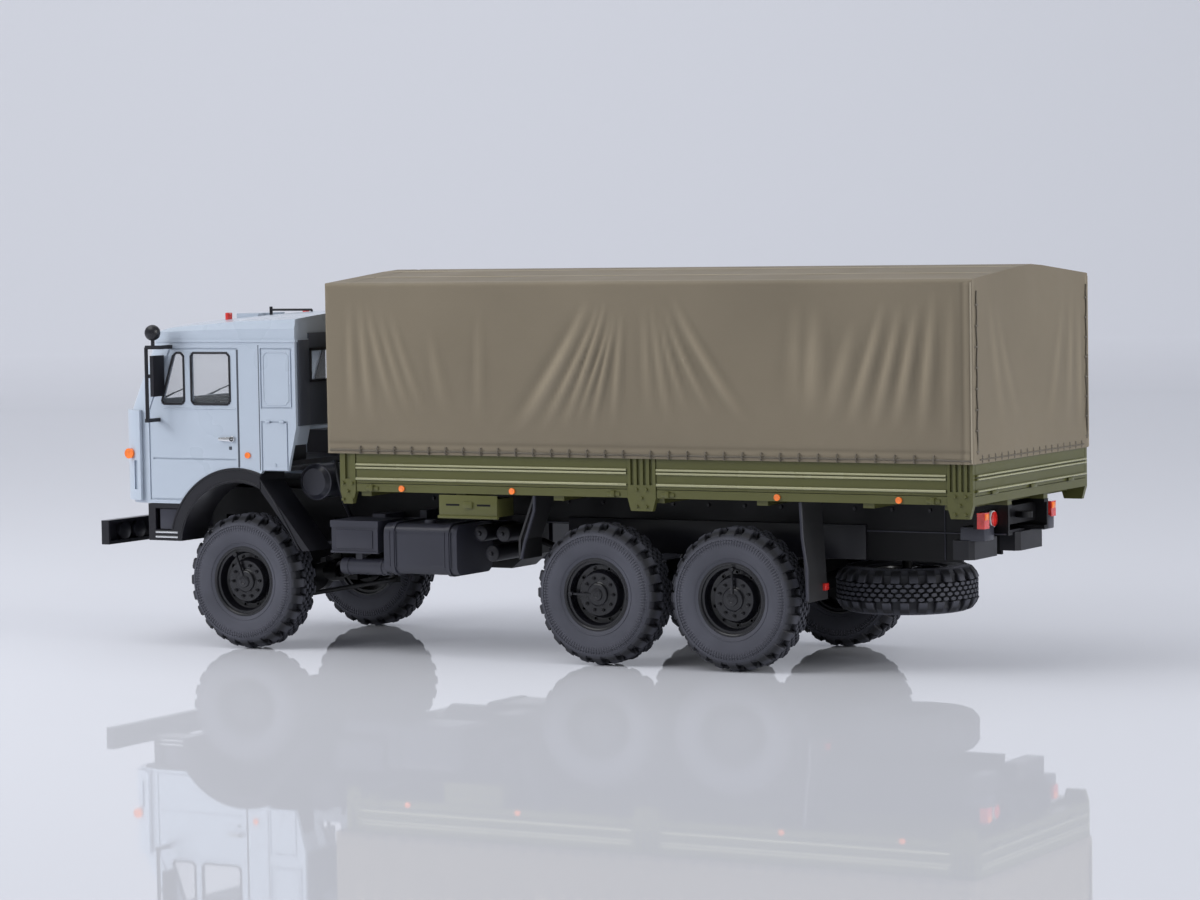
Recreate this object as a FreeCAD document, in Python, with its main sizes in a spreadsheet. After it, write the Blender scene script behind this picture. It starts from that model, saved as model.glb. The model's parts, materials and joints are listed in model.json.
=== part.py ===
"""A die-cast scale model of a six-wheel-drive cargo truck at 1:43, in millimetres.

X runs forward, Y to the truck's left and Z up. The origin is on the ground at
the middle of the model. The cab leads, and the bed with its tilt follows.
"""
import math
import os

import FreeCAD
import Part
import Sketcher

SIZES = {
    # Driving sizes: along the truck, across it, and up it
    "front_overhang": 36.0,
    "front_wheelbase": 85.8,
    "bogie_spacing": 30.7,
    "rear_overhang": 53.1,
    "bumper_reach": 5.7,
    "cab_length": 45.3,
    "cab_bed_gap": 10.4,
    "body_width": 58.1,
    "rail_rise": 12.6,
    "rail_height": 6.0,
    "cab_rise": 3.7,
    "belt_rise": 19.9,
    "window_rise": 14.6,
    "bed_floor_rise": 1.2,
    # Clearances and overruns shared by all pieces
    "fit_gap": 0.12,
    "overrun": 1.0,
    # Tyres
    "tyre_radius": 14.4,
    "tyre_width": 9.1,
    "tyre_inset": 0.45,
    "tread_depth": 1.4,
    "tread_inset": 1.25,
    "shoulder_drop": 1.9,
    "shoulder_inset": 0.3,
    "sidewall_bulge": 6.45,
    "bead_radius": 7.45,
    "bead_inset": 0.8,
    "bead_depth": 0.55,
    "seat_depth": 0.55,
    "lug_width": 1.86,
    "lug_inner": 0.4,
    "lug_knee_inset": 2.4,
    "lug_step_inset": 1.5,
    "lug_outer_inset": 0.35,
    "lug_step_drop": 0.5,
    "lug_outer_drop": 1.5,
    "lug_root_drop": 2.2,
    "lug_inner_root_drop": 1.8,
    # Rims
    "rim_clearance": 0.04,
    "rim_wall": 0.6,
    "flange_width": 0.6,
    "ring_face_depth": 0.25,
    "barrel_depth": 2.15,
    "barrel_taper": 0.11,
    "dish_radius": 5.6,
    "dish_floor": 1.0,
    "cone_foot_radius": 4.9,
    "bolt_face_radius": 4.3,
    "bolt_face_reach": 2.7,
    "hub_radius": 2.0,
    "hub_reach": 3.4,
    "cap_radius": 1.1,
    "cap_reach": 3.8,
    "disc_back": 0.3,
    "disc_wall": 0.7,
    "disc_back_radius": 5.2,
    "bolt_radius": 0.42,
    "bolt_circle": 3.3,
    "bolt_height": 0.5,
    "boss_radius": 2.1,
    "boss_depth": 1.3,
    "stub_radius": 1.0,
    "stub_clearance": 0.05,
    "stub_depth": 1.0,
    "drum_radius": 4.4,
    "drum_gap": 0.3,
    "drum_width": 2.3,
    # Axles and steering
    "beam_radius": 1.8,
    "case_radius": 4.4,
    "case_width": 6.4,
    "case_nose_radius": 2.2,
    "case_nose_length": 6.4,
    "kingpin_offset": 5.05,
    "kingpin_radius": 0.6,
    "kingpin_clearance": 0.05,
    "yoke_half_height": 3.4,
    "yoke_thickness": 1.0,
    "yoke_reach": 3.2,
    "yoke_radius": 1.1,
    "knuckle_gap": 0.1,
    "knuckle_radius": 1.0,
    "arm_length": 9.5,
    "arm_inset": 1.5,
    "arm_drop": 1.7,
    "arm_width": 1.3,
    "arm_thickness": 0.9,
    "tie_pin_radius": 0.4,
    "tie_pin_length": 2.2,
    "tie_pin_clearance": 0.05,
    "tie_open_clearance": 0.25,
    "tie_eye_radius": 1.0,
    "tie_eye_height": 1.2,
    "tie_rod_radius": 0.5,
    # Ladder frame
    "rail_outside": 10.0,
    "rail_flange": 2.0,
    "rail_wall": 0.7,
    "rail_nose_gap": 0.6,
    "rail_end_gap": 1.4,
    "cross_width": 3.0,
    "cross_height": 3.6,
    # Springs, clamps and the rear pair's pivot tube
    "spring_width": 2.1,
    "leaf_thickness": 1.0,
    "front_spring_half": 17.5,
    "front_spring_rise": 5.2,
    "hanger_length": 2.2,
    "clamp_length": 3.2,
    "clamp_wall": 0.3,
    "rear_spring_gap": 1.25,
    "rear_spring_rise": 2.4,
    "rear_leaf_thickness": 0.8,
    "pivot_hub_radius": 1.8,
    "pivot_radius": 1.3,
    "pivot_plate": 1.0,
    "pivot_plate_length": 7.0,
    # Drive line
    "engine_setback": 8.3,
    "engine_length": 32.0,
    "engine_half_width": 7.2,
    "engine_drop": 5.5,
    "engine_gap": 0.3,
    "gearbox_length": 21.0,
    "gearbox_half_width": 4.0,
    "gearbox_drop": 4.5,
    "gearbox_rise": 1.4,
    "transfer_half_length": 6.0,
    "transfer_half_width": 5.0,
    "transfer_rise": 2.4,
    "shaft_radius": 0.8,
    "shaft_joint_radius": 1.3,
    "shaft_joint_length": 1.6,
    # Cab form
    "cab_wall": 0.9,
    "cab_corner_radius": 6.8,
    "screen_lean": 6.4,
    "rear_wall_rise": 16.6,
    "floor_rise": 4.5,
    "floor_thickness": 1.0,
    "skirt_wall": 5.4,
    "roof_wall": 0.6,
    "roof_lean": 0.5,
    "roof_crown": 1.3,
    "roof_lip": 0.25,
    "roof_lip_height": 0.6,
    "roof_rise_rear": 4.8,
    "roof_rise_middle": 4.4,
    "roof_rise_front": 3.0,
    "roof_rise_brow": 1.2,
    "roof_crease_rear": 2.8,
    "roof_crease_front": 2.2,
    "roof_crease_brow": 0.8,
    "roof_middle_reach": 14.2,
    "roof_front_reach": 32.1,
    # Wheel arch, mudguard and splash guard
    "arch_shift": 0.4,
    "arch_rise": 6.6,
    "arch_clearance": 3.2,
    "guard_band": 3.1,
    "guard_width": 9.4,
    "guard_foot_rise": 1.7,
    "guard_wall": 0.9,
    "skirt_reach": 23.0,
    "step_rear": 15.0,
    "step_front": 21.2,
    "step_low": 4.0,
    "step_high": 8.6,
    "step_depth": 3.0,
    "splash_reach": 6.0,
    "splash_drop": 2.6,
    "splash_foot_inset": 2.0,
    "splash_foot_rise": 0.4,
    "splash_thickness": 2.6,
    "splash_width": 8.6,
    "splash_groove_depth": 0.5,
    # Doors, windows and panel lines, each from the one ahead of it
    "door_setback": 7.7,
    "door_head_drop": 1.4,
    "door_foot_rise": 0.9,
    "door_head_setback": 5.7,
    "quarter_gap": 3.2,
    "quarter_lean": 3.5,
    "quarter_length": 2.5,
    "pane_gap": 1.9,
    "pane_length": 9.9,
    "door_edge": 2.0,
    "side_panel_gap": 6.0,
    "side_panel_rear_gap": 1.0,
    "side_panel_low": 0.8,
    "locker_rise": 7.4,
    "locker_high": 17.7,
    "locker_foot_reach": 2.2,
    "groove": 0.35,
    "groove_depth": 0.25,
    "crease_drop": 10.3,
    "crease_inset": 0.8,
    "window_sill_rise": 1.4,
    "window_head_drop": 2.3,
    "screen_sill_rise": 1.8,
    "screen_head_drop": 1.6,
    "screen_inset": 5.05,
    "screen_cut_depth": 12.3,
    "back_pane_inset": 5.45,
    "back_pane_width": 11.0,
    "back_pane_rise": 9.7,
    "back_pane_drop": 1.8,
    "glass": 0.4,
    "glass_inset": 0.3,
    # Front panel and grille
    "panel_thickness": 1.0,
    "panel_rise": 0.6,
    "panel_reach": 2.0,
    "slat_pitch": 1.7,
    "slat_gap": 0.6,
    "slat_rise": 1.9,
    "grille_inset": 9.05,
    "vent_setback": 3.7,
    "vent_length": 1.1,
    "vent_rise": 2.3,
    "vent_height": 6.2,
    # Cab interior
    "seat_setback": 22.3,
    "seat_width": 11.0,
    "seat_length": 10.0,
    "seat_height": 5.0,
    "seat_inset": 14.05,
    "seat_back_thickness": 2.4,
    "seat_back_height": 17.5,
    "dash_depth": 5.5,
    "dash_height": 5.1,
    "wheel_ring_radius": 4.6,
    "wheel_ring_thickness": 0.45,
    "wheel_ring_setback": 15.7,
    "wheel_ring_rise": 2.0,
    "column_radius": 0.5,
    "spoke_radius": 0.3,
    # Handles, lamps and markers on the cab
    "handle_gap": 2.7,
    "handle_drop": 5.9,
    "handle_length": 4.4,
    "handle_height": 1.2,
    "handle_reach": 0.6,
    "turn_lamp_setback": 2.7,
    "turn_lamp_inset": 1.45,
    "turn_lamp_radius": 1.1,
    "turn_lamp_reach": 2.4,
    "lamp_drop": 9.3,
    "marker_radius": 0.65,
    "marker_reach": 0.35,
    "cab_marker_gap": 2.3,
    # Mirrors
    "mirror_reach": 4.15,
    "mirror_setback": 10.2,
    "mirror_rod_radius": 0.4,
    "mirror_top_drop": 1.0,
    "mirror_foot_drop": 2.0,
    "mirror_plate_gap": 0.9,
    "mirror_plate_thickness": 0.9,
    "mirror_plate_width": 3.9,
    "mirror_plate_low": 3.1,
    "mirror_plate_high": 2.8,
    "mirror_ball_radius": 1.7,
    "mirror_ball_gap": 1.8,
    "mirror_ball_rise": 2.1,
    "mirror_arm_gap": 3.5,
    # Roof fittings
    "hatch_setback": 14.4,
    "hatch_length": 5.6,
    "hatch_half_width": 5.2,
    "hatch_rise": 5.4,
    "roof_lamp_setback": 19.1,
    "roof_lamp_radius": 0.7,
    "roof_lamp_rise": 5.8,
    "roof_lamp_offset": 15.0,
    "aerial_setback": 21.7,
    "aerial_offset": 2.6,
    "aerial_radius": 0.35,
    "aerial_rise": 6.8,
    "aerial_rod_radius": 0.25,
    "aerial_rod_rise": 6.1,
    "aerial_rod_length": 10.6,
    # Bumper and headlamps
    "bumper_depth": 1.9,
    "bumper_wall": 0.7,
    "bumper_rise": 7.0,
    "bumper_height": 5.2,
    "bracket_width": 1.6,
    "bracket_drop": 4.4,
    "headlamp_radius": 1.9,
    "headlamp_reach": 1.2,
    "headlamp_inset": 6.45,
    "headlamp_pitch": 5.4,
    # Side gear, hung on the rails
    "gear_inset": 2.05,
    "hang_width": 1.6,
    "cleaner_gap": 0.5,
    "cleaner_rise": 2.4,
    "cleaner_radius": 3.65,
    "cleaner_inset": 7.05,
    "cleaner_foot": 0.4,
    "cleaner_band": 0.25,
    "cleaner_band_width": 0.8,
    "battery_gap": 7.0,
    "battery_length": 11.4,
    "battery_drop": 5.7,
    "battery_height": 6.6,
    "battery_clearance": 7.4,
    "battery_lid": 1.4,
    "battery_lid_lap": 0.2,
    "can_radius": 1.7,
    "can_setback": 1.5,
    "can_drop": 3.1,
    "can_inset": 4.45,
    "tank_gap": 1.5,
    "tank_rear_gap": 2.5,
    "tank_drop": 10.0,
    "tank_height": 10.5,
    "tank_clearance": 2.6,
    "tank_corner": 2.2,
    "strap_inset": 2.2,
    "strap_width": 0.9,
    "strap_thickness": 0.3,
    "tank_cap_radius": 1.3,
    "tank_cap_height": 0.7,
    "receiver_reach": 29.0,
    "receiver_radius": 1.7,
    "receiver_inset": 5.05,
    "receiver_pitch": 5.4,
    "receiver_drop": 1.2,
    "receiver_step": 4.1,
    "muffler_gap": 7.5,
    "muffler_length": 10.1,
    "muffler_radius": 4.6,
    "muffler_end": 0.6,
    "muffler_drop": 3.8,
    "muffler_inset": 10.45,
    "tailpipe_radius": 1.0,
    "tailpipe_neck": 0.8,
    "tailpipe_drop": 5.5,
    "toolbox_height": 3.7,
    "toolbox_depth": 6.5,
    "toolbox_lid": 0.3,
    # Bed
    "bed_floor_thickness": 0.9,
    "edge_rail_height": 1.65,
    "bearer_width": 2.4,
    "bearer_height": 1.0,
    "board_height": 9.03,
    "board_inset": 0.75,
    "board_thickness": 0.9,
    "board_ridge": 0.35,
    "ridge_low": 0.6,
    "ridge_low_height": 0.55,
    "ridge_high": 2.95,
    "ridge_high_height": 0.42,
    "ridge_pitch": 0.65,
    "post_inset": 0.55,
    "post_rib": 0.45,
    "post_front_width": 3.8,
    "post_middle_width": 6.4,
    "post_rear_width": 5.4,
    "post_drop": 2.6,
    "post_plate_rise": 2.6,
    "post_plate_taper": 0.75,
    "marker_rise": 0.75,
    # Tilt
    "tilt_reach": 2.8,
    "tilt_lap": 2.9,
    "tilt_side": 35.3,
    "tilt_gable": 2.35,
    "tilt_flat": 6.0,
    "tilt_flat_drop": 0.35,
    "tilt_wall": 0.5,
    # Rear end
    "buffer_lap": 4.95,
    "buffer_inset": 11.5,
    "buffer_depth": 4.2,
    "buffer_drop": 0.5,
    "buffer_height": 3.8,
    "buffer_setback": 5.6,
    "buffer_corner": 0.9,
    "tow_radius": 1.5,
    "tow_hole": 0.8,
    "tow_thickness": 1.2,
    "tow_shank": 0.7,
    "tow_drop": 2.5,
    "rear_lamp_setback": 3.0,
    "rear_lamp_inset": 12.45,
    "rear_lamp_drop": 2.6,
    "rear_lamp_width": 2.3,
    "rear_lamp_height": 3.1,
    "rear_lamp_depth": 1.6,
    "round_lamp_radius": 1.45,
    "round_lamp_depth": 1.0,
    "round_lamp_gap": 5.0,
    "lamp_bar_thickness": 0.8,
    # Mud flaps
    "flap_thickness": 0.5,
    "flap_width": 8.6,
    "flap_inset": 1.25,
    "front_flap_reach": 13.8,
    "front_flap_lean": 3.6,
    "front_flap_knee": 2.0,
    "front_flap_drop": 6.0,
    "rear_flap_reach": 15.3,
    "rear_flap_lean": 1.2,
    # Spare wheel, lying flat under the rear overhang
    "spare_reach": 27.8,
    "spare_gap": 1.6,
    "carrier_reach": 6.8,
    "carrier_tail": 16.6,
    "carrier_drop": 5.5,
    "carrier_wall": 0.8,
    "carrier_bolt_radius": 1.0,
    "carrier_nut_radius": 1.8,
}

# Counts, and shares of the sizes that they follow
LUGS = 24
WHEEL_BOLTS = 10
GRILLE_SLATS = 5
LEAF_SHARES = (0.45, 0.72, 1.0)
CROSS_MEMBER_SHARES = (0.01, 0.26, 0.40, 0.53, 0.66, 0.82, 0.98)
BEARER_SHARES = (0.04, 0.2, 0.36, 0.52, 0.68, 0.84, 0.96)
TRANSFER_SHARE = 0.583
LOWER_CASE_SHARE = 0.45
MIDDLE_POST_SHARE = 0.4743
TOOLBOX_SHARES = (0.519, 0.813)
MARKER_SHARES = (0.1045, 0.288, 0.706, 0.8877)
SPLASH_GROOVE_SHARES = (0.4, 0.6)
RIB_SHARE = 0.5

doc = FreeCAD.newDocument("CargoTruckModel")
sheet = doc.addObject("Spreadsheet::Sheet", "Sizes")
for row, (alias, number) in enumerate(SIZES.items(), 1):
    sheet.set(f"A{row}", alias)
    sheet.set(f"B{row}", str(number))
    sheet.setAlias(f"B{row}", alias)
doc.recompute()


class Size:
    """A length, with the expression that ties it to the sheet's cells."""

    def __init__(self, value, text):
        self.value = value
        self.text = text

    def __add__(self, other):
        other = as_size(other)
        return Size(self.value + other.value, f"({self.text} + {other.text})")

    def __sub__(self, other):
        other = as_size(other)
        return Size(self.value - other.value, f"({self.text} - {other.text})")

    def __mul__(self, factor):
        factor = as_size(factor)
        return Size(self.value * factor.value, f"({self.text} * {factor.text})")

    def __truediv__(self, factor):
        factor = as_size(factor)
        return Size(self.value / factor.value, f"({self.text} / {factor.text})")

    def __neg__(self):
        return Size(-self.value, f"(0 - {self.text})")


def as_size(value):
    if isinstance(value, Size):
        return value
    return Size(float(value), f"({value})")


def root(size):
    return Size(math.sqrt(size.value), f"sqrt({size.text})")


class SheetSizes:
    """Each alias of the sheet as a Size."""

    def __getattr__(self, alias):
        return Size(SIZES[alias], f"Sizes.{alias}")


s = SheetSizes()
zero = as_size(0)

# Places along the truck
length = s.front_overhang + s.front_wheelbase + s.bogie_spacing + s.rear_overhang
front_axle = length / 2 - s.front_overhang
middle_axle = front_axle - s.front_wheelbase
rear_axle = middle_axle - s.bogie_spacing
bed_rear = rear_axle - s.rear_overhang
cab_front = length / 2 - s.bumper_reach
cab_rear = cab_front - s.cab_length
screen_top = cab_front - s.screen_lean
bed_front = cab_rear - s.cab_bed_gap
rail_nose = cab_front - s.cab_wall - s.rail_nose_gap
rail_rear = bed_rear + s.rail_end_gap
arch_x = front_axle + s.arch_shift

# Places across the truck
half_width = s.body_width / 2
half_track = half_width - s.tyre_inset - s.tyre_width / 2
kingpin_y = half_track - s.kingpin_offset
rail_inside = s.rail_outside - s.rail_flange
board_outside = half_width - s.board_inset
board_inside = board_outside - s.board_thickness
gear_outside = half_width - s.gear_inset

# Places up the truck
axle_height = s.tyre_radius
rail_bottom = axle_height + s.rail_rise
rail_top = rail_bottom + s.rail_height
cab_bottom = rail_bottom + s.cab_rise
belt = cab_bottom + s.belt_rise
roof_seam = belt + s.window_rise
rear_wall_bottom = cab_bottom + s.rear_wall_rise
cab_floor = cab_bottom + s.floor_rise
arch_z = axle_height + s.arch_rise
arch_radius = s.tyre_radius + s.arch_clearance
bed_floor_bottom = rail_top + s.bed_floor_rise
bed_floor_top = bed_floor_bottom + s.bed_floor_thickness
edge_rail_top = bed_floor_bottom + s.edge_rail_height
board_bottom = edge_rail_top + s.fit_gap
board_top = board_bottom + s.board_height
lamp_height = belt - s.lamp_drop

# Doors and windows
door_front = cab_front - s.door_setback
quarter_foot = door_front - s.quarter_gap
quarter_head = quarter_foot - s.quarter_lean
quarter_rear = quarter_head - s.quarter_length
pane_front = quarter_rear - s.pane_gap
pane_rear = pane_front - s.pane_length
door_rear = pane_rear - s.door_edge
side_panel_front = door_rear - s.side_panel_gap
locker_bottom = cab_bottom + s.locker_rise
locker_foot = cab_rear + s.locker_foot_reach

counter = {"made": 0}


def new(kind, name):
    counter["made"] += 1
    return doc.addObject(kind, f"{name}_{counter['made']}")


def bind(obj, **sizes):
    for prop, size in sizes.items():
        obj.setExpression(prop, as_size(size).text)
    return obj


def put(obj, x=zero, y=zero, z=zero):
    obj.setExpression("Placement.Base.x", as_size(x).text)
    obj.setExpression("Placement.Base.y", as_size(y).text)
    obj.setExpression("Placement.Base.z", as_size(z).text)
    return obj


def block(x, y, z, name="Block"):
    """A box between two places on each axis."""
    obj = new("Part::Box", name)
    bind(obj, Length=x[1] - x[0], Width=y[1] - y[0], Height=z[1] - z[0])
    return put(obj, x[0], y[0], z[0])


def wide(half):
    """The two places at a half width on either side of the truck's middle."""
    return -half, half


TURNS = {
    "x": FreeCAD.Rotation(FreeCAD.Vector(0, 1, 0), 90),
    "y": FreeCAD.Rotation(FreeCAD.Vector(1, 0, 0), -90),
    "z": FreeCAD.Rotation(),
}


def rod(axis, radius, low, high, at, name="Rod"):
    """A cylinder along an axis from low to high. at gives the other two coordinates."""
    obj = new("Part::Cylinder", name)
    bind(obj, Radius=radius, Height=high - low)
    obj.Placement = FreeCAD.Placement(FreeCAD.Vector(), TURNS[axis])
    place = list(at)
    place.insert("xyz".index(axis), low)
    return put(obj, *place)


def ball(radius, x, y, z, name="Ball"):
    obj = new("Part::Sphere", name)
    bind(obj, Radius=radius)
    return put(obj, x, y, z)


PLANES = {
    "xy": FreeCAD.Rotation(),
    "xz": FreeCAD.Rotation(FreeCAD.Vector(1, 0, 0), 90),
    "yz": FreeCAD.Rotation(FreeCAD.Vector(1, 1, 1), 120),
}
NORMALS = {"xy": (0, 0, 1), "xz": (0, 1, 0), "yz": (1, 0, 0)}
ACROSS = {"xy": "z", "xz": "y", "yz": "x"}


def arc_between(a, b, radius, left):
    """The arc from a to b with its centre on the left or right of the chord."""
    chord = b - a
    middle = (a + b) * 0.5
    across = FreeCAD.Vector(-chord.y, chord.x, 0)
    across.normalize()
    reach = math.sqrt(max(radius ** 2 - (chord.Length / 2) ** 2, 0))
    centre = middle + across * (reach if left else -reach)
    start, end = (a, b) if left else (b, a)
    first = math.atan2(start.y - centre.y, start.x - centre.x)
    last = math.atan2(end.y - centre.y, end.x - centre.x)
    if last < first:
        last += 2 * math.pi
    circle = Part.Circle(centre, FreeCAD.Vector(0, 0, 1), radius)
    return Part.ArcOfCircle(circle, first, last)


def outline(plane, points, name="Outline", at=None):
    """A closed sketch through points. A third item (radius, left) bends the side that follows."""
    sketch = new("Sketcher::SketchObject", name)
    sketch.Placement = FreeCAD.Placement(FreeCAD.Vector(), PLANES[plane])
    corners = [FreeCAD.Vector(as_size(p[0]).value, as_size(p[1]).value, 0) for p in points]
    ends = []
    for i, point in enumerate(points):
        a = corners[i]
        b = corners[(i + 1) % len(points)]
        if len(point) > 2:
            radius, left = point[2]
            sketch.addGeometry(arc_between(a, b, radius.value, left))
            ends.append((1, 2) if left else (2, 1))
        else:
            sketch.addGeometry(Part.LineSegment(a, b))
            ends.append((1, 2))
    bound = []
    for i, point in enumerate(points):
        after = (i + 1) % len(points)
        sketch.addConstraint(Sketcher.Constraint("Coincident", i, ends[i][1], after, ends[after][0]))
        for kind, size, value in (("DistanceX", point[0], corners[i].x), ("DistanceY", point[1], corners[i].y)):
            text = as_size(size).text
            index = sketch.addConstraint(Sketcher.Constraint(kind, -1, 1, i, ends[i][0], value))
            bound.append((index, text))
        if len(point) > 2:
            index = sketch.addConstraint(Sketcher.Constraint("Radius", i, point[2][0].value))
            bound.append((index, point[2][0].text))
    for index, text in bound:
        sketch.setExpression(f"Constraints[{index}]", text)
    if at is not None:
        sketch.setExpression(f"Placement.Base.{ACROSS[plane]}", as_size(at).text)
    return sketch


def drawn_out(sketch, plane, distance, name="Prism"):
    obj = new("Part::Extrusion", name)
    obj.Base = sketch
    obj.DirMode = "Custom"
    obj.Dir = NORMALS[plane]
    obj.Solid = True
    return bind(obj, LengthFwd=distance)


def prism(plane, points, low, high, name="Prism"):
    """The outline drawn out between two places along its plane's normal."""
    return drawn_out(outline(plane, points, name + "Outline", low), plane, high - low, name)


def turned(points, at=(zero, zero, zero), axis="y", name="Turned"):
    """A profile of (radius, place along the axis) turned about the axis."""
    if axis == "x":
        points = [(place, radius) for radius, place in points]
    sketch = outline("xz" if axis == "z" else "xy", points, name + "Outline")
    obj = new("Part::Revolution", name)
    obj.Source = sketch
    obj.Axis = {"x": (1, 0, 0), "y": (0, 1, 0), "z": (0, 0, 1)}[axis]
    obj.Angle = 360
    obj.Solid = True
    return put(obj, *at)


def loft(sketches, name="Loft", ruled=True):
    obj = new("Part::Loft", name)
    obj.Sections = sketches
    obj.Solid = True
    obj.Ruled = ruled
    return obj


def cut(base, *tools):
    for tool in tools:
        obj = new("Part::Cut", "Cut")
        obj.Base = base
        obj.Tool = tool
        base = obj
    return base


def fused(*parts):
    obj = new("Part::MultiFuse", "Fused")
    obj.Shapes = list(parts)
    return obj


def common(first, second):
    obj = new("Part::MultiCommon", "Common")
    obj.Shapes = [first, second]
    return obj


def group(*parts):
    obj = new("Part::Compound", "Group")
    obj.Links = list(parts)
    return obj


def spun(part, degrees):
    """The same piece turned about the wheel's own axis."""
    obj = group(part)
    obj.Placement = FreeCAD.Placement(FreeCAD.Vector(), FreeCAD.Rotation(FreeCAD.Vector(0, 1, 0), degrees))
    return obj


def ring_of(part, count, start=0.0):
    """A piece repeated round the wheel's own axis."""
    return [spun(part, start + 360 / count * i) for i in range(count)]


def mirrored(source):
    """The same piece on the truck's other side."""
    obj = new("Part::Mirroring", "Mirrored")
    obj.Source = source
    obj.Normal = FreeCAD.Vector(0, 1, 0)
    return obj


def both(source):
    return group(source, mirrored(source))


nodes = {}


def node(label, obj):
    nodes[label] = obj
    return obj


def pair(label, left):
    node(f"{label}_left", left)
    node(f"{label}_right", mirrored(left))


# Wheels

tyre_half = s.tyre_width / 2
bead_half = tyre_half - s.bead_inset
seat_half = bead_half - s.bead_depth
seat_radius = s.bead_radius - s.seat_depth


def tyre():
    """A tyre round the Y axis: its casing with bulging sidewalls, and a row of lugs on each shoulder."""
    casing_radius = s.tyre_radius - s.tread_depth
    tread_half = tyre_half - s.tread_inset
    shoulder = (s.tyre_radius - s.shoulder_drop, tyre_half - s.shoulder_inset)
    casing = turned([
        (seat_radius, -seat_half),
        (seat_radius, seat_half),
        (s.bead_radius, seat_half),
        (s.bead_radius, bead_half, (s.sidewall_bulge, False)),
        shoulder,
        (casing_radius, tread_half),
        (casing_radius, -tread_half),
        (shoulder[0], -shoulder[1], (s.sidewall_bulge, False)),
        (s.bead_radius, -bead_half),
        (s.bead_radius, -seat_half),
    ], name="Casing")
    outer = tyre_half - s.lug_outer_inset
    lug = prism("yz", [
        (s.lug_inner, s.tyre_radius - s.lug_inner_root_drop),
        (outer, s.tyre_radius - s.lug_root_drop),
        (outer, s.tyre_radius - s.lug_outer_drop),
        (tyre_half - s.lug_step_inset, s.tyre_radius - s.lug_step_drop),
        (tyre_half - s.lug_knee_inset, s.tyre_radius),
        (s.lug_inner, s.tyre_radius),
    ], *wide(s.lug_width / 2), name="Lug")
    half_pitch = 180 / LUGS
    return fused(casing, *ring_of(lug, LUGS), *ring_of(mirrored(lug), LUGS, half_pitch))


def rim():
    """A dished rim round the Y axis, with its bolts, its hub and the blind bore that the stub shaft turns in."""
    seat = seat_radius - s.rim_clearance
    barrel = seat - s.rim_wall
    lip = s.bead_radius - s.rim_clearance
    lip_low = seat_half + s.rim_clearance
    ring_face = bead_half - s.ring_face_depth
    bore = s.stub_radius + s.stub_clearance
    wheel = turned([
        (seat, -lip_low),
        (seat, lip_low),
        (lip, lip_low),
        (lip, bead_half),
        (lip - s.flange_width, bead_half),
        (lip - s.flange_width, ring_face),
        (barrel, ring_face),
        (barrel - s.barrel_taper, bead_half - s.barrel_depth),
        (s.dish_radius, s.dish_floor),
        (s.cone_foot_radius, s.dish_floor),
        (s.bolt_face_radius, s.bolt_face_reach),
        (s.hub_radius, s.bolt_face_reach),
        (s.hub_radius, s.hub_reach),
        (s.cap_radius, s.hub_reach),
        (s.cap_radius, s.cap_reach),
        (zero, s.cap_reach),
        (zero, s.stub_depth),
        (bore, s.stub_depth),
        (bore, s.disc_back - s.boss_depth),
        (s.boss_radius, s.disc_back - s.boss_depth),
        (s.boss_radius, s.disc_back),
        (s.disc_back_radius, s.disc_back),
        (barrel, s.disc_back + s.disc_wall),
        (barrel, -bead_half),
        (lip, -bead_half),
        (lip, -lip_low),
    ], name="Wheel")
    bolt = new("Part::Prism", "WheelBolt")
    bolt.Polygon = 6
    bind(bolt, Circumradius=s.bolt_radius, Height=s.bolt_height * 2)
    bolt.Placement = FreeCAD.Placement(FreeCAD.Vector(), TURNS["y"])
    put(bolt, zero, s.bolt_face_reach - s.bolt_height, s.bolt_circle)
    return fused(wheel, *ring_of(bolt, WHEEL_BOLTS))


def wheels():
    tyre_form = tyre()
    rim_form = rim()
    for name, x in (("front", front_axle), ("middle", middle_axle), ("rear", rear_axle)):
        pair(f"tyre_{name}", put(group(tyre_form), x, half_track, axle_height))
        pair(f"rim_{name}", put(group(rim_form), x, half_track, axle_height))
    lying = FreeCAD.Placement(FreeCAD.Vector(), FreeCAD.Rotation(FreeCAD.Vector(1, 0, 0), 90))
    spare_z = carrier_bottom - s.spare_gap - tyre_half
    spare_tyre = group(tyre_form)
    spare_rim = group(rim_form)
    for spare in (spare_tyre, spare_rim):
        spare.Placement = lying
        put(spare, spare_x, zero, spare_z)
    node("spare_tyre", spare_tyre)
    hole = rod("z", s.carrier_bolt_radius + s.stub_clearance, zero, rail_bottom, (spare_x, zero))
    node("spare_rim", cut(spare_rim, hole))


# Axles and steering

stub_root = half_track + s.disc_back - s.boss_depth - s.drum_gap
drum_root = stub_root - s.drum_width
spring_seat = axle_height + s.beam_radius
bogie_x = (middle_axle + rear_axle) / 2


def drum_and_stub(x):
    drum = rod("y", s.drum_radius, drum_root, stub_root, (x, axle_height))
    stub = rod("y", s.stub_radius, stub_root, half_track + s.stub_depth - s.rim_clearance, (x, axle_height))
    return drum, stub


def axle_case(x, facing):
    """The round middle of an axle, with the nose that its shaft enters."""
    round_case = turned([
        (zero, -s.case_width / 2),
        (s.case_nose_radius, -s.case_width / 2),
        (s.case_radius, -s.case_nose_radius / 2),
        (s.case_radius, s.case_nose_radius / 2),
        (s.case_nose_radius, s.case_width / 2),
        (zero, s.case_width / 2),
    ], (x, zero, axle_height), name="AxleCase")
    ends = sorted((x, x + s.case_nose_length * facing), key=lambda size: size.value)
    nose = rod("x", s.case_nose_radius, ends[0], ends[1], (zero, axle_height))
    return round_case, nose


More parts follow.
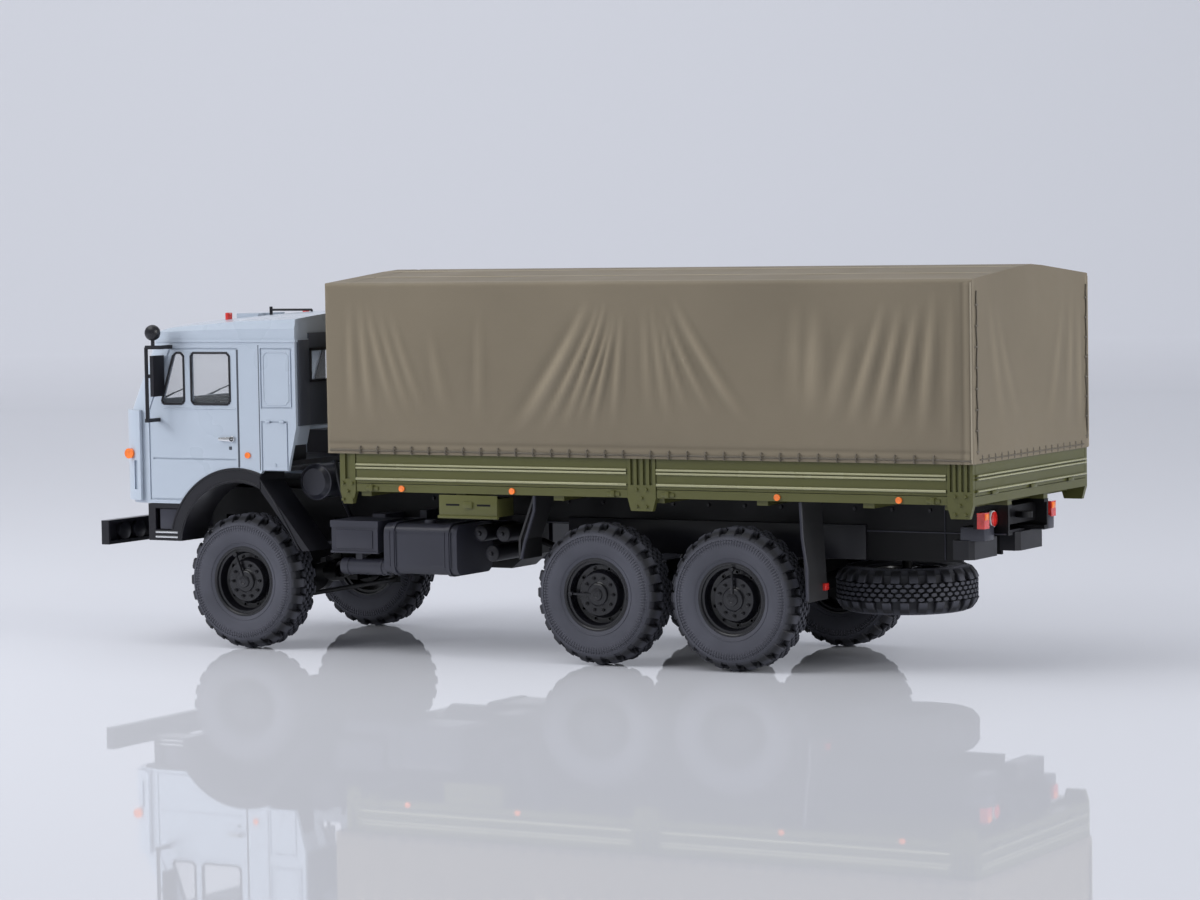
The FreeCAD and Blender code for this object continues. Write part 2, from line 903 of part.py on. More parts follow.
def driven_axles():
    for name, x in (("middle", middle_axle), ("rear", rear_axle)):
        drum, stub = drum_and_stub(x)
        beam = rod("y", s.beam_radius, -drum_root, drum_root, (x, axle_height))
        case, nose = axle_case(x, 1)
        node(f"{name}_axle", fused(beam, case, nose, drum, stub, mirrored(drum), mirrored(stub)))


def front_axle_beam():
    x = front_axle
    yoke_root = kingpin_y - s.yoke_reach
    beam = rod("y", s.beam_radius, -yoke_root, yoke_root, (x, axle_height))
    case, nose = axle_case(x, -1)
    low = axle_height - s.yoke_half_height
    high = axle_height + s.yoke_half_height
    back = block((x - s.yoke_radius, x + s.yoke_radius), (yoke_root - s.yoke_thickness, yoke_root), (low, high))
    arms = []
    for foot in (low, high - s.yoke_thickness):
        arms.append(block((x - s.yoke_radius, x + s.yoke_radius), (yoke_root - s.yoke_thickness, kingpin_y),
                          (foot, foot + s.yoke_thickness)))
        arms.append(rod("z", s.yoke_radius, foot, foot + s.yoke_thickness, (x, kingpin_y)))
    hole = rod("z", s.kingpin_radius + s.kingpin_clearance, low - s.overrun, high + s.overrun, (x, kingpin_y))
    yoke = cut(fused(back, *arms), hole)
    node("front_axle", fused(beam, case, nose, yoke, mirrored(yoke)))


tie_x = front_axle - s.arm_length
tie_y = kingpin_y - s.arm_inset
arm_bottom = axle_height - s.arm_drop
tie_low = arm_bottom - s.tie_pin_length


def knuckle():
    x = front_axle
    gap = s.yoke_half_height - s.yoke_thickness - s.knuckle_gap
    drum, stub = drum_and_stub(x)
    post = rod("z", s.knuckle_radius, axle_height - gap, axle_height + gap, (x, kingpin_y))
    pin = rod("z", s.kingpin_radius, axle_height - s.yoke_half_height, axle_height + s.yoke_half_height,
              (x, kingpin_y))
    neck = block((x - s.knuckle_radius, x + s.knuckle_radius), (kingpin_y, drum_root),
                 (axle_height - s.knuckle_radius, axle_height + s.knuckle_radius))
    half = s.arm_width / 2
    arm_top = arm_bottom + s.arm_thickness
    arm = prism("xy", [
        (x, kingpin_y + half),
        (x, kingpin_y - half),
        (tie_x, tie_y - half),
        (tie_x, tie_y + half),
    ], arm_bottom, arm_top)
    eye = rod("z", half, arm_bottom, arm_top, (tie_x, tie_y))
    tie_pin = rod("z", s.tie_pin_radius, tie_low, arm_bottom, (tie_x, tie_y))
    return fused(drum, stub, post, pin, neck, arm, eye, tie_pin)


def tie_rod():
    eye_top = tie_low + s.tie_eye_height
    bar = rod("y", s.tie_rod_radius, -tie_y, tie_y, (tie_x, tie_low + s.tie_eye_height / 2))
    eyes = []
    holes = []
    for y, clearance in ((tie_y, s.tie_pin_clearance), (-tie_y, s.tie_open_clearance)):
        eyes.append(rod("z", s.tie_eye_radius, tie_low, eye_top, (tie_x, y)))
        holes.append(rod("z", s.tie_pin_radius + clearance, tie_low - s.overrun, eye_top + s.overrun, (tie_x, y)))
    node("tie_rod", cut(fused(bar, *eyes), *holes))


# Frame, springs and drive line

rear_lamp_x = bed_rear + s.rear_lamp_setback + s.rear_lamp_depth
rear_lamp_y = half_width - s.rear_lamp_inset
rear_lamp_z = rail_top - s.rear_lamp_drop


def frame():
    rail = block((rail_rear, rail_nose), (rail_inside, s.rail_outside), (rail_bottom, rail_top))
    groove = block((rail_rear - s.overrun, rail_nose + s.overrun),
                   (rail_inside - s.rail_wall, s.rail_outside - s.rail_wall),
                   (rail_bottom + s.rail_wall, rail_top - s.rail_wall))
    channel = cut(rail, groove)
    web = s.rail_outside - s.rail_wall
    members = []
    top = rail_top - s.rail_wall
    for share in CROSS_MEMBER_SHARES:
        x = rail_nose - (rail_nose - rail_rear) * share
        members.append(block((x - s.cross_width / 2, x + s.cross_width / 2), wide(web), (top - s.cross_height, top)))
    bar = block((rear_lamp_x, rear_lamp_x + s.lamp_bar_thickness), (web, rear_lamp_y + s.rear_lamp_width / 2),
                (rear_lamp_z - s.rear_lamp_height / 2, rear_lamp_z + s.rear_lamp_height / 2))
    node("frame", fused(channel, mirrored(channel), bar, mirrored(bar), *members))


def leaf(x, half, centre_z, radius, thickness, sides, bowed_down):
    """One spring leaf between two arcs about a centre above it, or below it where it is bowed up."""
    outer = radius
    inner = radius - thickness
    sign = -1 if bowed_down else 1
    outer_z = centre_z + root(outer * outer - half * half) * sign
    inner_z = centre_z + root(inner * inner - half * half) * sign
    return prism("xz", [
        (x - half, outer_z, (outer, bowed_down)),
        (x + half, outer_z),
        (x + half, inner_z, (inner, not bowed_down)),
        (x - half, inner_z),
    ], *sides, name="Leaf")


def clamp(x, sides, low, high):
    half = s.clamp_length / 2
    return block((x - half, x + half), (sides[0] - s.clamp_wall, sides[1] + s.clamp_wall), (low, high))


def springs():
    sides = (s.rail_outside - s.spring_width, s.rail_outside)
    thickness = s.leaf_thickness
    half = s.front_spring_half
    rise = s.front_spring_rise
    main = (half * half + rise * rise) / (rise * 2)
    outer = main + thickness * (len(LEAF_SHARES) - 1)
    centre_z = spring_seat + outer
    leaves = [leaf(front_axle, half * share, centre_z, outer - thickness * i, thickness, sides, True)
              for i, share in enumerate(LEAF_SHARES)]
    end_z = centre_z - root(main * main - half * half)
    hangers = [block((end - s.hanger_length / 2, end + s.hanger_length / 2), sides, (end_z, rail_bottom))
               for end in (front_axle - half, front_axle + half)]
    seat = clamp(front_axle, sides, spring_seat, spring_seat + thickness * len(LEAF_SHARES) + s.clamp_wall)
    node("front_springs", both(fused(*leaves, *hangers, seat)))

    low_y = s.rail_outside + s.rear_spring_gap
    sides = (low_y, low_y + s.spring_width)
    thickness = s.rear_leaf_thickness
    half = s.bogie_spacing / 2
    rise = s.rear_spring_rise
    under = (half * half + rise * rise) / (rise * 2)
    crown = spring_seat + rise
    leaves = [leaf(bogie_x, half * share, crown - under, under + thickness * (i + 1), thickness, sides, False)
              for i, share in enumerate(reversed(LEAF_SHARES))]
    seat = clamp(bogie_x, sides, crown, crown + thickness * len(LEAF_SHARES) + s.clamp_wall)
    node("rear_springs", both(fused(*leaves, seat)))


def trunnion():
    """The tube that the rear pair rocks on, hung from the rails."""
    pivot_z = spring_seat + s.rear_spring_rise - s.pivot_hub_radius
    inner = s.rail_outside + s.rear_spring_gap
    reach = inner + s.spring_width
    tube = rod("y", s.pivot_radius, -reach, reach, (bogie_x, pivot_z))
    hub = rod("y", s.pivot_hub_radius, inner, reach, (bogie_x, pivot_z))
    half = s.pivot_plate_length / 2
    plate = prism("xz", [
        (bogie_x - half, rail_bottom),
        (bogie_x - s.pivot_radius, pivot_z),
        (bogie_x + s.pivot_radius, pivot_z),
        (bogie_x + half, rail_bottom),
    ], s.rail_outside - s.pivot_plate, s.rail_outside)
    node("trunnion", fused(tube, hub, mirrored(hub), plate, mirrored(plate)))


def shaft_end(x, z):
    ring = new("Part::Circle", "ShaftEnd")
    bind(ring, Radius=s.shaft_radius)
    ring.Placement = FreeCAD.Placement(FreeCAD.Vector(), TURNS["x"])
    return put(ring, x, zero, z)


def shaft(x0, x1, z0, z1):
    """A drive shaft from its front end back to its rear end, with a joint at each."""
    joints = [rod("x", s.shaft_joint_radius, x0 - s.shaft_joint_length, x0, (zero, z0)),
              rod("x", s.shaft_joint_radius, x1, x1 + s.shaft_joint_length, (zero, z1))]
    return fused(loft([shaft_end(x0, z0), shaft_end(x1, z1)]), *joints)


def drive_line():
    engine_front = cab_front - s.engine_setback
    engine_rear = engine_front - s.engine_length
    gearbox_rear = engine_rear - s.gearbox_length
    gearbox_z = (rail_bottom - s.gearbox_drop, rail_bottom + s.gearbox_rise)
    engine = block((engine_rear, engine_front), wide(s.engine_half_width),
                   (rail_bottom - s.engine_drop, cab_floor - s.engine_gap))
    gearbox = block((gearbox_rear, engine_rear), wide(s.gearbox_half_width), gearbox_z)
    node("engine_and_gearbox", fused(engine, gearbox))
    half = s.transfer_half_length
    middle = front_axle - s.front_wheelbase * TRANSFER_SHARE
    foot = axle_height + s.transfer_rise
    base = half * LOWER_CASE_SHARE
    case = prism("xz", [
        (middle - base, foot),
        (middle + base, foot),
        (middle + half, foot + base),
        (middle + half, rail_bottom),
        (middle - half, rail_bottom),
        (middle - half, foot + base),
    ], *wide(s.transfer_half_width))
    saddle = block((middle - half, middle + half), wide(rail_inside), (rail_bottom, rail_bottom + s.rail_wall))
    node("transfer_case", fused(case, saddle))
    output_z = foot + half
    shafts = [
        rod("x", s.shaft_radius, middle + half, gearbox_rear, (zero, (gearbox_z[0] + gearbox_z[1]) / 2)),
        shaft(front_axle - s.case_nose_length, middle + half, axle_height, output_z),
        shaft(middle - half, middle_axle + s.case_nose_length, output_z, axle_height),
        shaft(middle_axle - s.case_radius, rear_axle + s.case_nose_length, axle_height, axle_height),
    ]
    node("drive_shafts", group(*shafts))


# Cab

def plan_outline(z, front, rear, half, radius, name="Plan"):
    """The cab's outline seen from above, with its two round front corners."""
    return outline("xy", [
        (rear, half),
        (rear, -half),
        (front - radius, -half, (radius, True)),
        (front, -(half - radius)),
        (front, half - radius, (radius, True)),
        (front - radius, half),
    ], name, z)


def cab_form(inset, low):
    """The cab's body up to the roof seam, set in by a wall's thickness."""
    half = half_width - inset
    radius = s.cab_corner_radius - inset
    rear = cab_rear + inset
    lower = plan_outline(low, cab_front - inset, rear, half, radius)
    middle = plan_outline(belt, cab_front - inset, rear, half, radius)
    head = plan_outline(roof_seam, screen_top - inset, rear, half, radius)
    return loft([lower, middle, head])


def window_cutters():
    sides = wide(half_width + s.overrun)
    sill = belt + s.window_sill_rise
    head = roof_seam - s.window_head_drop
    quarter = prism("xz", [
        (quarter_rear, sill),
        (quarter_foot, sill),
        (quarter_head, head),
        (quarter_rear, head),
    ], *sides)
    main = prism("xz", [
        (pane_rear, sill),
        (pane_front, sill),
        (pane_front, head),
        (pane_rear, head),
    ], *sides)
    screen = block((cab_front - s.screen_cut_depth, cab_front + s.overrun), wide(half_width - s.screen_inset),
                   (belt + s.screen_sill_rise, roof_seam - s.screen_head_drop))
    outer = half_width - s.back_pane_inset
    back = block((cab_rear - s.overrun, cab_rear + s.cab_wall * 2), (outer - s.back_pane_width, outer),
                 (rear_wall_bottom + s.back_pane_rise, roof_seam - s.back_pane_drop))
    return [quarter, main, screen, back, mirrored(back)]


def lower_cuts():
    """What the cab's lower edge leaves out: the wheel arch and the space under the rear wall."""
    sides = wide(half_width + s.overrun)
    under = cab_bottom - s.overrun
    arch = rod("y", arch_radius, *sides, (arch_x, arch_z))
    behind_arch = prism("xz", [
        (cab_rear - s.overrun, under),
        (arch_x, under),
        (side_panel_front, locker_bottom),
        (locker_foot, locker_bottom),
        (cab_rear, rear_wall_bottom),
        (cab_rear - s.overrun, rear_wall_bottom),
    ], *sides)
    under_wall = block((cab_rear - s.overrun, side_panel_front), wide(half_width - s.skirt_wall),
                       (under, rear_wall_bottom))
    return [arch, behind_arch, under_wall]


engraving = (half_width - s.groove_depth, half_width + s.groove_depth)


def engraved_box(rear, front, low, high):
    """A rectangle's outline, engraved in both sides of the cab."""
    grow = s.groove / 2
    ring = cut(block((rear - grow, front + grow), engraving, (low - grow, high + grow)),
               block((rear + grow, front - grow), engraving, (low + grow, high - grow)))
    return [ring, mirrored(ring)]


def door_lines():
    """The engraved line round each door, and the crease below its handle."""

    def door(grow):
        return prism("xz", [
            (door_rear - grow, cab_bottom + s.door_foot_rise - grow),
            (door_front + grow, cab_bottom + s.door_foot_rise - grow),
            (door_front + grow, belt),
            (door_front - s.door_head_setback + grow, roof_seam - s.door_head_drop + grow),
            (door_rear - grow, roof_seam - s.door_head_drop + grow),
        ], *engraving)

    ring = cut(door(s.groove / 2), door(-s.groove / 2))
    crease_z = belt - s.crease_drop
    crease = block((door_rear + s.crease_inset, door_front - s.crease_inset), engraving,
                   (crease_z - s.groove / 2, crease_z + s.groove / 2))
    return [ring, mirrored(ring), crease, mirrored(crease)]


def cab_shell():
    outer = cab_form(zero, cab_bottom)
    inner = cab_form(s.cab_wall, cab_bottom - s.cab_wall)
    side_panel = engraved_box(cab_rear + s.side_panel_rear_gap, side_panel_front,
                              belt + s.side_panel_low, roof_seam - s.door_head_drop)
    locker = engraved_box(locker_foot, side_panel_front, locker_bottom, cab_bottom + s.locker_high)
    node("cab_shell", cut(outer, inner, *window_cutters(), *lower_cuts(), *door_lines(), *side_panel, *locker))


def roof_section(x, crease, edge, inset):
    """The roof looking along the truck: upright sides, leaning eaves and a shallow crown between them."""
    half = half_width - inset
    lean = half - s.roof_lean
    crown = (lean * lean + s.roof_crown * s.roof_crown) / (s.roof_crown * 2)
    return outline("yz", [
        (-half, roof_seam),
        (half, roof_seam),
        (half, roof_seam + crease - inset),
        (lean, roof_seam + edge - inset, (crown, True)),
        (-lean, roof_seam + edge - inset),
        (-half, roof_seam + crease - inset),
    ], "RoofSection", x)


def roof_plan(grow, height):
    """The roof's plan, with its round front corners, drawn up from the seam."""
    sketch = plan_outline(roof_seam, screen_top + grow, cab_rear - grow, half_width + grow,
                          s.cab_corner_radius + grow)
    return drawn_out(sketch, "xy", height)


def roof_form(inset):
    """The roof's whole form, falling towards the brow over the screen."""
    sections = [
        roof_section(cab_rear + inset, s.roof_crease_rear, s.roof_rise_rear, inset),
        roof_section(cab_rear + s.roof_middle_reach, s.roof_crease_rear, s.roof_rise_middle, inset),
        roof_section(cab_rear + s.roof_front_reach, s.roof_crease_front, s.roof_rise_front, inset),
        roof_section(screen_top - inset, s.roof_crease_brow, s.roof_rise_brow, inset),
    ]
    return common(loft(sections), roof_plan(-inset, s.window_rise))


def cab_roof():
    skin = cut(roof_form(zero), roof_form(s.roof_wall))
    lip = cut(roof_plan(s.roof_lip, s.roof_lip_height), roof_plan(-s.roof_wall, s.roof_lip_height))
    node("cab_roof", fused(skin, lip))


def glazing():
    outer = cab_form(s.glass_inset, cab_bottom)
    inner = cab_form(s.glass_inset + s.glass, cab_bottom - s.cab_wall)
    skin = cut(outer, inner)
    node("cab_glazing", group(*[common(skin, cutter) for cutter in window_cutters()]))


def cab_interior():
    inside = half_width - s.cab_wall
    floor = plan_outline(cab_floor, cab_front - s.cab_wall, side_panel_front, inside,
                         s.cab_corner_radius - s.cab_wall)
    slab = drawn_out(floor, "xy", s.floor_thickness, "Floor")
    arch = rod("y", arch_radius + s.cab_wall, *wide(half_width), (arch_x, arch_z))
    hump = arch_z + arch_radius + s.cab_wall
    seat_x = cab_front - s.seat_setback
    seat_y = half_width - s.seat_inset
    seats = []
    for y in (seat_y, -seat_y):
        across = (y - s.seat_width / 2, y + s.seat_width / 2)
        rear = seat_x - s.seat_length
        seats.append(block((rear, seat_x), across, (hump, hump + s.seat_height)))
        seats.append(block((rear - s.seat_back_thickness, rear), across, (hump, hump + s.seat_back_height)))
    deck = block((side_panel_front, seat_x), wide(inside), (hump - s.floor_thickness, hump))
    front = block((seat_x - s.floor_thickness, seat_x), wide(inside), (cab_floor, hump))
    nose = cab_front - s.cab_wall
    dash = prism("xz", [
        (nose - s.dash_depth, belt - s.dash_height),
        (nose - s.floor_thickness, belt - s.dash_height),
        (nose - s.floor_thickness, belt),
        (nose - s.dash_depth / 2, belt),
    ], *wide(half_width - s.cab_corner_radius))
    node("cab_interior", group(cut(fused(slab, deck, front, *seats), arch), dash))


def steering_wheel():
    x = cab_front - s.wheel_ring_setback
    y = half_width - s.seat_inset
    z = belt + s.wheel_ring_rise
    ring = new("Part::Torus", "WheelRing")
    bind(ring, Radius1=s.wheel_ring_radius, Radius2=s.wheel_ring_thickness)
    put(ring, x, y, z)
    spoke = rod("y", s.spoke_radius, y - s.wheel_ring_radius, y + s.wheel_ring_radius, (x, z))
    column = rod("z", s.column_radius, cab_floor + s.floor_thickness, z, (x, y))
    node("steering_wheel", fused(ring, spoke, column))


panel_bottom = cab_bottom + s.panel_rise


def panel_form(grow):
    """The space inside the front panel's outer or inner face."""
    sketch = plan_outline(panel_bottom, cab_front + grow, door_front, half_width + grow, s.cab_corner_radius + grow)
    return drawn_out(sketch, "xy", belt - panel_bottom, "Skin")


def front_panel():
    reach = half_width + s.panel_thickness
    ends = block((door_front, door_front + s.panel_reach), wide(reach), (panel_bottom, belt))
    panel = cut(panel_form(s.panel_thickness), panel_form(s.fit_gap), ends)
    slots = []
    face = (cab_front + s.panel_thickness / 2, cab_front + s.panel_thickness + s.overrun)
    for i in range(GRILLE_SLATS):
        low = panel_bottom + s.slat_rise + s.slat_pitch * i
        slots.append(block(face, wide(half_width - s.grille_inset), (low, low + s.slat_gap)))
    vent_x = cab_front - s.vent_setback
    low = panel_bottom + s.vent_rise
    vent = block((vent_x - s.vent_length, vent_x), (half_width, reach), (low, low + s.vent_height))
    node("front_panel", cut(panel, vent, mirrored(vent), *slots))


def cab_fittings():
    x = door_rear + s.handle_gap
    z = belt - s.handle_drop
    handle = block((x - s.handle_length / 2, x + s.handle_length / 2), (half_width, half_width + s.handle_reach),
                   (z - s.handle_height / 2, z + s.handle_height / 2))
    node("door_handles", both(handle))
    lamp_y = half_width - s.turn_lamp_inset
    lamp = rod("y", s.turn_lamp_radius, lamp_y, lamp_y + s.turn_lamp_reach,
               (cab_front - s.turn_lamp_setback, lamp_height))
    lamps = [both(cut(lamp, panel_form(s.panel_thickness)))]
    places = [(door_rear - s.cab_marker_gap, lamp_height, half_width)]
    for share in MARKER_SHARES:
        places.append((bed_front - (bed_front - bed_rear) * share, bed_floor_bottom + s.marker_rise, board_outside))
    for x, z, y in places:
        lamps.append(both(rod("y", s.marker_radius, y, y + s.marker_reach, (x, z))))
    roof_lamp = rod("z", s.roof_lamp_radius, roof_seam + s.roof_rise_front, roof_seam + s.roof_lamp_rise,
                    (cab_front - s.roof_lamp_setback, s.roof_lamp_offset))
    lamps.append(both(cut(roof_lamp, roof_form(zero))))
    node("marker_lamps", group(*lamps))


def mirror():
    r = s.mirror_rod_radius
    x = cab_front - s.mirror_setback
    y = half_width + s.mirror_reach
    top = roof_seam - s.mirror_top_drop
    foot = belt - s.mirror_foot_drop
    arm_x = x - s.mirror_arm_gap
    ball_x = x - s.mirror_ball_gap
    ball_z = roof_seam + s.mirror_ball_rise
    upright = rod("z", r, foot, top, (x, y))
    bridge = block((arm_x, x), (y - r, y + r), (top - r, top + r))
    top_arm = block((arm_x - r, arm_x + r), (half_width, y + r), (top - r, top + r))
    low_arm = block((x - r, x + r), (half_width, y + r), (foot - r, foot + r))
    front = x - s.mirror_plate_gap
    low = belt + s.mirror_plate_low
    high = roof_seam - s.mirror_plate_high
    plate = block((front - s.mirror_plate_thickness, front), (y - s.mirror_plate_width, y), (low, high))
    middle = (low + high) / 2
    clasp = block((front - r, x), (y - r, y), (middle - r, middle + r))
    bulb = ball(s.mirror_ball_radius, ball_x, y, ball_z)
    stalk = rod("z", r, top, ball_z, (ball_x, y))
    return fused(upright, bridge, top_arm, low_arm, plate, clasp, bulb, stalk)


def roof_fittings():
    hatch_front = cab_front - s.hatch_setback
    hatch = block((hatch_front - s.hatch_length, hatch_front), wide(s.hatch_half_width),
                  (roof_seam + s.roof_rise_front, roof_seam + s.hatch_rise))
    node("roof_hatch", cut(hatch, roof_form(zero)))
    x = cab_front - s.aerial_setback
    rod_z = roof_seam + s.aerial_rod_rise
    tip = x - s.aerial_rod_length
    place = (x, s.aerial_offset)
    post = rod("z", s.aerial_radius, roof_seam + s.roof_rise_front, roof_seam + s.aerial_rise, place)
    foot = rod("z", s.aerial_rod_radius, roof_seam + s.roof_rise_front, rod_z, (tip, s.aerial_offset))
    lying = rod("x", s.aerial_rod_radius, tip, x, (s.aerial_offset, rod_z))
    node("roof_aerial", cut(fused(post, foot, lying), roof_form(zero)))


def mudguards():
    reach = half_width + s.fit_gap
    inner_y = reach - s.guard_width
    low = arch_z + s.guard_foot_rise
    splash_top = arch_x - s.splash_reach
    skirt_front = arch_x + s.skirt_reach
    outer = rod("y", arch_radius - s.fit_gap, inner_y, reach, (arch_x, arch_z))
    inner = rod("y", arch_radius - s.guard_band, inner_y - s.overrun, reach + s.overrun, (arch_x, arch_z))
    keep = block((splash_top, skirt_front), (inner_y, reach), (low, arch_z + arch_radius))
    arch = common(cut(outer, inner), keep)
    panel = block((arch_x, skirt_front), (half_width - s.skirt_wall, half_width), (low, cab_bottom - s.fit_gap))
    well = rod("y", arch_radius - s.fit_gap - s.guard_wall, inner_y - s.overrun, reach + s.overrun,
               (arch_x, arch_z))
    step = block((arch_x + s.step_rear, arch_x + s.step_front), (half_width - s.step_depth, reach),
                 (arch_z + s.step_low, arch_z + s.step_high))
    node("front_mudguards", both(fused(arch, cut(panel, well, step))))
    foot = arch_x - (arch_radius - s.splash_foot_inset)
    bottom = arch_z + s.splash_foot_rise
    top = arch_z + arch_radius - s.splash_drop
    front = splash_top - s.fit_gap
    width = s.splash_thickness
    guard = prism("xz", [
        (front, top - width),
        (front, top),
        (foot - width, bottom),
        (foot, bottom),
    ], half_width - s.splash_width, half_width)
    near, far = SPLASH_GROOVE_SHARES
    groove = prism("xz", [
        (front + s.overrun, top - width * (1 - near)),
        (front + s.overrun, top - width * (1 - far)),
        (foot - width * far, bottom - s.overrun),
        (foot - width * near, bottom - s.overrun),
    ], half_width - s.splash_groove_depth, half_width + s.overrun)
    node("splash_guards", both(cut(guard, groove)))


def bumper():
    nose = length / 2
    rear = nose - s.bumper_depth
    low = axle_height + s.bumper_rise
    high = low + s.bumper_height
    wall = s.bumper_wall
    beam = block((rear, nose), wide(half_width), (low, high))
    hollow = block((rear - s.overrun, nose - wall), wide(half_width - wall), (low + wall, high - wall))
    lamps = []
    holes = []
    outer = half_width - s.headlamp_inset
    for y in (outer - s.headlamp_pitch, outer):
        start = nose - s.headlamp_reach
        place = (y, (low + high) / 2)
        lamps.append(both(rod("x", s.headlamp_radius, start, nose - s.fit_gap, place)))
        holes.append(both(rod("x", s.headlamp_radius + s.fit_gap, start, nose + s.overrun, place)))
    channel = cut(beam, hollow, *holes)
    bracket = block((rail_nose, nose - wall), (rail_inside, rail_inside + s.bracket_width),
                    (rail_bottom - s.bracket_drop, rail_bottom + s.cross_height))
    node("front_bumper", fused(channel, bracket, mirrored(bracket)))
    node("headlamps", group(*lamps))


# Gear hung on the rails' sides

battery_front = cab_rear - s.battery_gap
battery_rear = battery_front - s.battery_length
battery_middle = (battery_front + battery_rear) / 2
tank_front = battery_rear - s.tank_gap
tank_inside = s.rail_outside + s.tank_clearance
receiver_x = middle_axle + s.receiver_reach
tank_rear = receiver_x + s.receiver_radius + s.tank_rear_gap


def air_cleaner():
    x = cab_rear + s.cleaner_gap
    z = rail_top + s.cleaner_rise
    inner = s.rail_outside + s.cleaner_foot
    outer = half_width - s.cleaner_inset
    band = s.cleaner_radius + s.cleaner_band
    width = s.cleaner_band_width
    drum = turned([
        (zero, inner),
        (s.cleaner_radius, inner),
        (s.cleaner_radius, outer - width * 2),
        (band, outer - width * 2),
        (band, outer - width),
        (s.cleaner_radius, outer - width),
        (s.cleaner_radius - width, outer),
        (zero, outer),
    ], (x, zero, z), name="CleanerDrum")
    foot = block((x - s.hang_width, x + s.hang_width), (rail_inside, inner + s.hang_width), (rail_top, z))
    node("air_cleaner", fused(drum, foot))


def battery_box():
    outer = gear_outside
    inner = s.rail_outside + s.battery_clearance
    low = rail_bottom - s.battery_drop
    high = low + s.battery_height
    lap = s.battery_lid_lap
    case = block((battery_rear, battery_front), (inner, outer), (low, high))
    lid = block((battery_rear - lap, battery_front + lap), (inner - lap, outer + lap), (high - s.battery_lid, high))
    arm = block((battery_middle - s.hang_width, battery_middle + s.hang_width), (s.rail_outside, inner),
                (low + s.hang_width, rail_bottom + s.hang_width))
    can_y = half_width - s.can_inset
    can_z = low - s.can_drop
    can = rod("x", s.can_radius, tank_front, battery_front - s.can_setback, (can_y, can_z))
    half = s.hang_width / 2
    strut = block((battery_middle - half, battery_middle + half), (can_y - half, can_y + half), (can_z, low))
    node("battery_box", fused(case, lid, arm, can, strut))


def tank_section(grow):
    """A fuel tank's outline with its round corners, or that of a strap round it."""
    outer = gear_outside + grow
    inner = tank_inside - grow
    low = rail_bottom - s.tank_drop - grow
    high = rail_bottom - s.tank_drop + s.tank_height + grow
    r = s.tank_corner + grow
    return [
        (inner + r, low),
        (outer - r, low, (r, True)),
        (outer, low + r),
        (outer, high - r, (r, True)),
        (outer - r, high),
        (inner + r, high, (r, True)),
        (inner, high - r),
        (inner, low + r, (r, True)),
    ]


def tank():
    body = prism("yz", tank_section(zero), tank_rear, tank_front)
    low = rail_bottom - s.tank_drop
    fittings = []
    for x in (tank_front - s.strap_inset, tank_rear + s.strap_inset):
        fittings.append(prism("yz", tank_section(s.strap_thickness), x - s.strap_width / 2, x + s.strap_width / 2))
        fittings.append(block((x - s.hang_width / 2, x + s.hang_width / 2), (s.rail_outside, tank_inside + s.tank_corner),
                              (low + s.tank_corner, rail_top - s.cross_height)))
    top = low + s.tank_height
    cap = rod("z", s.tank_cap_radius, top - s.tank_cap_height, top + s.tank_cap_height,
              ((tank_front + tank_rear) / 2, gear_outside - s.tank_corner * 2))
    return fused(body, cap, *fittings)


def air_receivers():
    z = rail_bottom - s.receiver_drop
    inner = s.rail_outside + s.hang_width
    outer = half_width - s.receiver_inset
    rear = receiver_x - s.receiver_pitch
    bottles = [rod("y", s.receiver_radius, inner, outer, place) for place in (
        (receiver_x, z), (rear, z), ((receiver_x + rear) / 2, z - s.receiver_step))]
    cradle = block((rear, receiver_x), (s.rail_outside, inner), (z - s.receiver_step, rail_bottom + s.hang_width))
    node("air_receivers", fused(cradle, *bottles))


def muffler():
    front = cab_rear - s.muffler_gap
    rear = front - s.muffler_length
    y = -(half_width - s.muffler_inset)
    z = rail_bottom - s.muffler_drop
    rim_radius = s.muffler_radius - s.muffler_end
    drum = turned([
        (zero, rear),
        (rim_radius, rear),
        (s.muffler_radius, rear + s.muffler_end),
        (s.muffler_radius, front - s.muffler_end),
        (rim_radius, front),
        (zero, front),
    ], (zero, y, z), "x", "MufflerDrum")
    tail_x = rear - s.tailpipe_neck
    tail = rod("x", s.tailpipe_neck, tail_x, rear + s.muffler_end, (y, z))
    outlet = rod("z", s.tailpipe_radius, z - s.tailpipe_drop, z + s.tailpipe_radius, (tail_x, y))
    bracket = block((battery_middle - s.hang_width, battery_middle + s.hang_width), (y, -s.rail_outside),
                    (rail_bottom, rail_bottom + s.hang_width))
    node("muffler", fused(drum, tail, outlet, bracket))


def toolbox():
    run = bed_front - (middle_axle + s.front_flap_reach)
    front, rear = (bed_front - run * share for share in TOOLBOX_SHARES)
    high = bed_floor_bottom - s.bearer_height
    low = high - s.toolbox_height
    box = block((rear, front), (board_outside - s.toolbox_depth, board_outside - s.toolbox_lid), (low, high))
    margin = s.toolbox_lid * 2
    flap = block((rear + margin, front - margin), (board_outside - s.toolbox_lid * 2, board_outside),
                 (low + margin, high - margin))
    node("toolbox", fused(box, flap))


# Bed and tilt

bed_tail = bed_rear + s.tilt_wall + s.fit_gap
post_outside = half_width - s.post_inset
post_bottom = bed_floor_bottom - s.post_drop
plate_top = bed_floor_bottom + s.post_plate_rise
middle_post_front = bed_front - (bed_front - bed_rear) * MIDDLE_POST_SHARE
front_post = (bed_front - s.post_front_width, bed_front)
middle_post = (middle_post_front - s.post_middle_width, middle_post_front)
rear_post = (bed_tail, bed_tail + s.post_rear_width)
board_runs = ((middle_post[1] + s.fit_gap, front_post[0] - s.fit_gap),
              (rear_post[1] + s.fit_gap, middle_post[0] - s.fit_gap))


